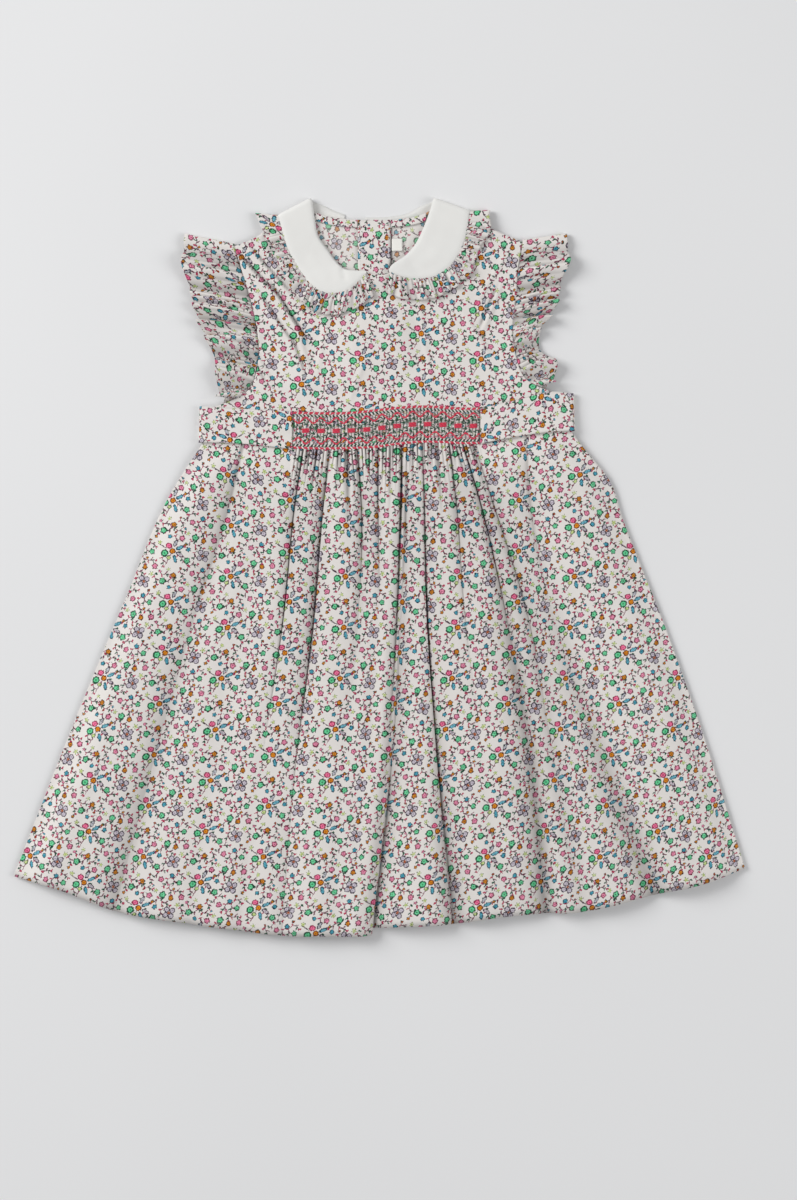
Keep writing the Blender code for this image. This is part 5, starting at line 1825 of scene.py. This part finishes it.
@dataclass(frozen=True)
class ArmholeFrill:
    """Gathered frill round an armhole: up the front, over the shoulder and down the back.

    turn is 1 on the right side and -1 on the left; edge is its free edge in front, creases the
    folds pressed into it.
    """

    side: str
    turn: int
    armhole: Table
    edge: Table
    creases: Table
    # share of the armhole left free at the waist, and how much narrower the back is
    start_share: float = 2 / 14
    back_inset: float = 5.0

    def seam(self, share: Array) -> Array:
        """Points on the armhole at shares of the frill."""
        return curve(self.armhole, self.start_share + (1 - self.start_share) * share)

    def build(self, wardrobe: Wardrobe) -> None:
        """Build and dress the frill."""
        frill = Frill(Cloth(f"armhole_frill_{self.side}_cloth", f"armhole_frill_{self.side}",
                            (0.27, 0.038), Lie.GATHERED, ("floor",), 0.0083, start=(61.0, 14.0)),
                      Gathers(8.0, 6.5, 4.5, (0.5, 1.7, 0.6), (0.35, 2.3, 1.1)),
                      Gathers(25.0, 2.4, 1.2, (0.8, 2.9, 1.9), (0.45, 5.3, 0.4)), (261, 27))
        share, across = (shares(count) for count in frill.size)
        back_share = share[::frill.back_step]
        back_edge = [(x - self.turn * self.back_inset, y) for x, y in self.edge[:-1]] + [self.edge[-1]]
        flat = blend(self.seam(share), curve(self.edge, share), across)
        back = blend(self.seam(1 - back_share), curve(back_edge[::-1], back_share), across)
        plan, gather, painted_shade = frill.gather(flat)
        x, y = plan[..., 0], plan[..., 1]
        level = Layers.front(x, y)
        height = level + LAWN - SHELL / 2 + gather + creased(x, y, self.creases)
        front = np.dstack([plan, np.maximum(height, level + SHELL / 2)])
        outward = outward_of(flat[-1], flat[0].mean(axis=0))
        frill.sew(front, painted_shade, back, outward, wardrobe.right_up)


ARMHOLE_FRILLS = (
    ArmholeFrill("left", -1, ARMHOLE_LEFT,
                 ((-117, 117.5), (-116.5, 129), (-118, 141), (-121, 153), (-126, 166),
                  (-131, 178), (-134, 188), (-138, 202), (-142, 222), (-140, 237.5)),
                 ((-98, 163, -86, 139, -3.0, 1.6), (-117, 153, -88, 138, -3.5, 1.5),
                  (-120, 160, -95, 148, 1.5, 3.0))),
    ArmholeFrill("right", 1, ARMHOLE_RIGHT,
                 ((125, 128), (126.5, 135), (127, 146), (117, 156), (116, 170), (123, 180),
                  (129, 192), (132, 206), (136.5, 220), (135, 237.5)),
                 ((114, 169, 118, 155, -2.5, 1.6), (98, 168, 118, 160, -2.0, 1.5))),
)


@dataclass(frozen=True)
class Sash:
    """A sash: from the smocking over the waistband, round the side, and along under the back.

    A row of front and tie holds x, its upper edge's y and its lower edge's.
    """

    side: str
    front: Table
    tie: Table
    creases: Table
    size: tuple[int, int] = (61, 17)
    # how much further the tie's upper corner reaches than its lower one
    point: float = 9.0
    # rise of the lower edge and fall of the upper one, and their shares of the width
    lower: Row = (1.1, 0.07)
    upper: Row = (0.4, 0.06)
    # unevenness: height, size and seed
    uneven: tuple[float, float, int] = (0.3, 24.0, 53)

    def strip(self, table: Table) -> Array:
        """Plan of a stretch of the sash from its sections."""
        rows, columns = (shares(count) for count in self.size)
        x, high, low = curve(table, rows).T
        return blend(np.column_stack([x, low]), np.column_stack([x, high]), columns)

    def grid(self) -> Array:
        """Middle surface of the sash."""
        front, tie = self.strip(self.front), self.strip(self.tie)
        down, across = (shares(count) for count in self.size)
        inward = np.sign(tie[-1, 0, 0] - tie[0, 0, 0])
        tie[..., 0] += inward * self.point * down[:, None] ** 3 * across
        x, y = front[..., 0], front[..., 1]
        rise, fall = (size * np.exp(-place / reach) for (size, reach), place in (
            (self.lower, across[None]), (self.upper, 1 - across[None])))
        uneven, *kind = self.uneven
        height = (Layers.front(x, y) + TURN + LAWN - SHELL / 2 + rise - fall
                  + uneven * crumple(x, y, *kind) + creased(x, y, self.creases))
        outward = outward_of(front[-1], front[0].mean(axis=0))
        return facing_up(over_fold(front, height, tie, SHELL / 2, outward))

    def build(self, wardrobe: Wardrobe) -> None:
        """Build and dress the sash."""
        cloth = Cloth(f"sash_{self.side}_cloth", f"sash_{self.side}", (0.185, 0.027), Lie.FOLDED,
                      ("smocked_band_cloth",), start=(9.0, 27.0))
        grid = self.grid()
        cloth.lay(cloth.sew(grid, wardrobe.right_up, flat_places(grid)))


SASHES = (
    Sash("left", ((-62.5, 111.4, 84.3), (-95, 113, 87.8), (-115, 114.2, 89), (-126.8, 115, 89)),
         ((-126.8, 115, 89), (-100, 114, 89), (-60, 113, 88), (-24, 112, 88)),
         ((-64, 98, -78, 100, 0.6, 2.5),)),
    Sash("right", ((72.5, 113.6, 88.2), (106, 121.3, 94.5), (124, 125.6, 96.8), (137.3, 124.4, 97.5)),
         ((137.3, 124.4, 97.5), (110, 122.5, 97), (70, 120, 95), (22, 117, 93)),
         ((74, 102, 92, 108, 0.6, 2.5),)),
)


# ------------ studio
@dataclass(frozen=True)
class Studio:
    """A pale board under two large soft lamps, seen from straight above."""

    # the camera's place in plan and height in millimetres, and its lens
    aim: Row = (13.7, -24.1)
    distance: float = 2040.0
    lens: float = 85.0
    # metres that the camera sees, and the board's side
    far: float = 20.0
    board_size: float = 6.0
    # place in metres, size in metres, watts
    lamps: Table = ((-2.6, 1.2, 1.9, 1.8, 90.0), (2.7, -0.4, 2.0, 2.0, 42.0))
    sky: str = "#F4F5F8"
    sky_strength: float = 0.36

    def light(self) -> None:
        """Set the lamps, aimed at the middle of the board, and the light of the room."""
        for number, (x, y, z, size, watts) in enumerate(self.lamps, start=1):
            light = bpy.data.lights.new(f"softbox_{number}", "AREA")
            light.energy, light.size = watts, size
            lamp = bpy.data.objects.new(light.name, light)
            lamp.location = (x, y, z)
            lamp.rotation_euler = Vector((x, y, z)).to_track_quat("Z", "Y").to_euler()
            bpy.context.scene.collection.objects.link(lamp)
        world = bpy.data.worlds.new("studio")
        world.use_nodes = True
        back = world.node_tree.nodes["Background"]
        back.inputs["Color"].default_value = linear(self.sky)
        back.inputs["Strength"].default_value = self.sky_strength
        bpy.context.scene.world = world

    def build(self, wardrobe: Wardrobe) -> None:
        """Set the camera, the board that the dress lies on, and the lamps."""
        scene = bpy.context.scene
        camera = bpy.data.objects.new("camera", bpy.data.cameras.new("camera"))
        camera.data.lens, camera.data.clip_end = self.lens, self.far
        camera.location = Vector((*self.aim, self.distance)) * MM
        scene.collection.objects.link(camera)
        scene.camera = camera
        half = self.board_size / MM / 2
        corners = np.array([(-half, -half, 0.0), (half, -half, 0.0), (half, half, 0.0), (-half, half, 0.0)])
        add_mesh("floor", corners, np.array([[0, 1, 2, 3]]), [wardrobe.floor])
        self.light()
        scene.view_settings.view_transform = "Standard"


def main() -> None:
    """Build the dress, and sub-assembly by sub-assembly."""
    logging.basicConfig(level=logging.INFO, format="%(name)s: %(message)s")
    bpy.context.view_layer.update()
    wardrobe = Wardrobe()
    Studio().build(wardrobe)
    for part in (Skirt(), Waistband(), BackOpening(), Bodice(), *COLLARS, *ARMHOLE_FRILLS, *SASHES):
        part.build(wardrobe)


if __name__ == "__main__":
    main()
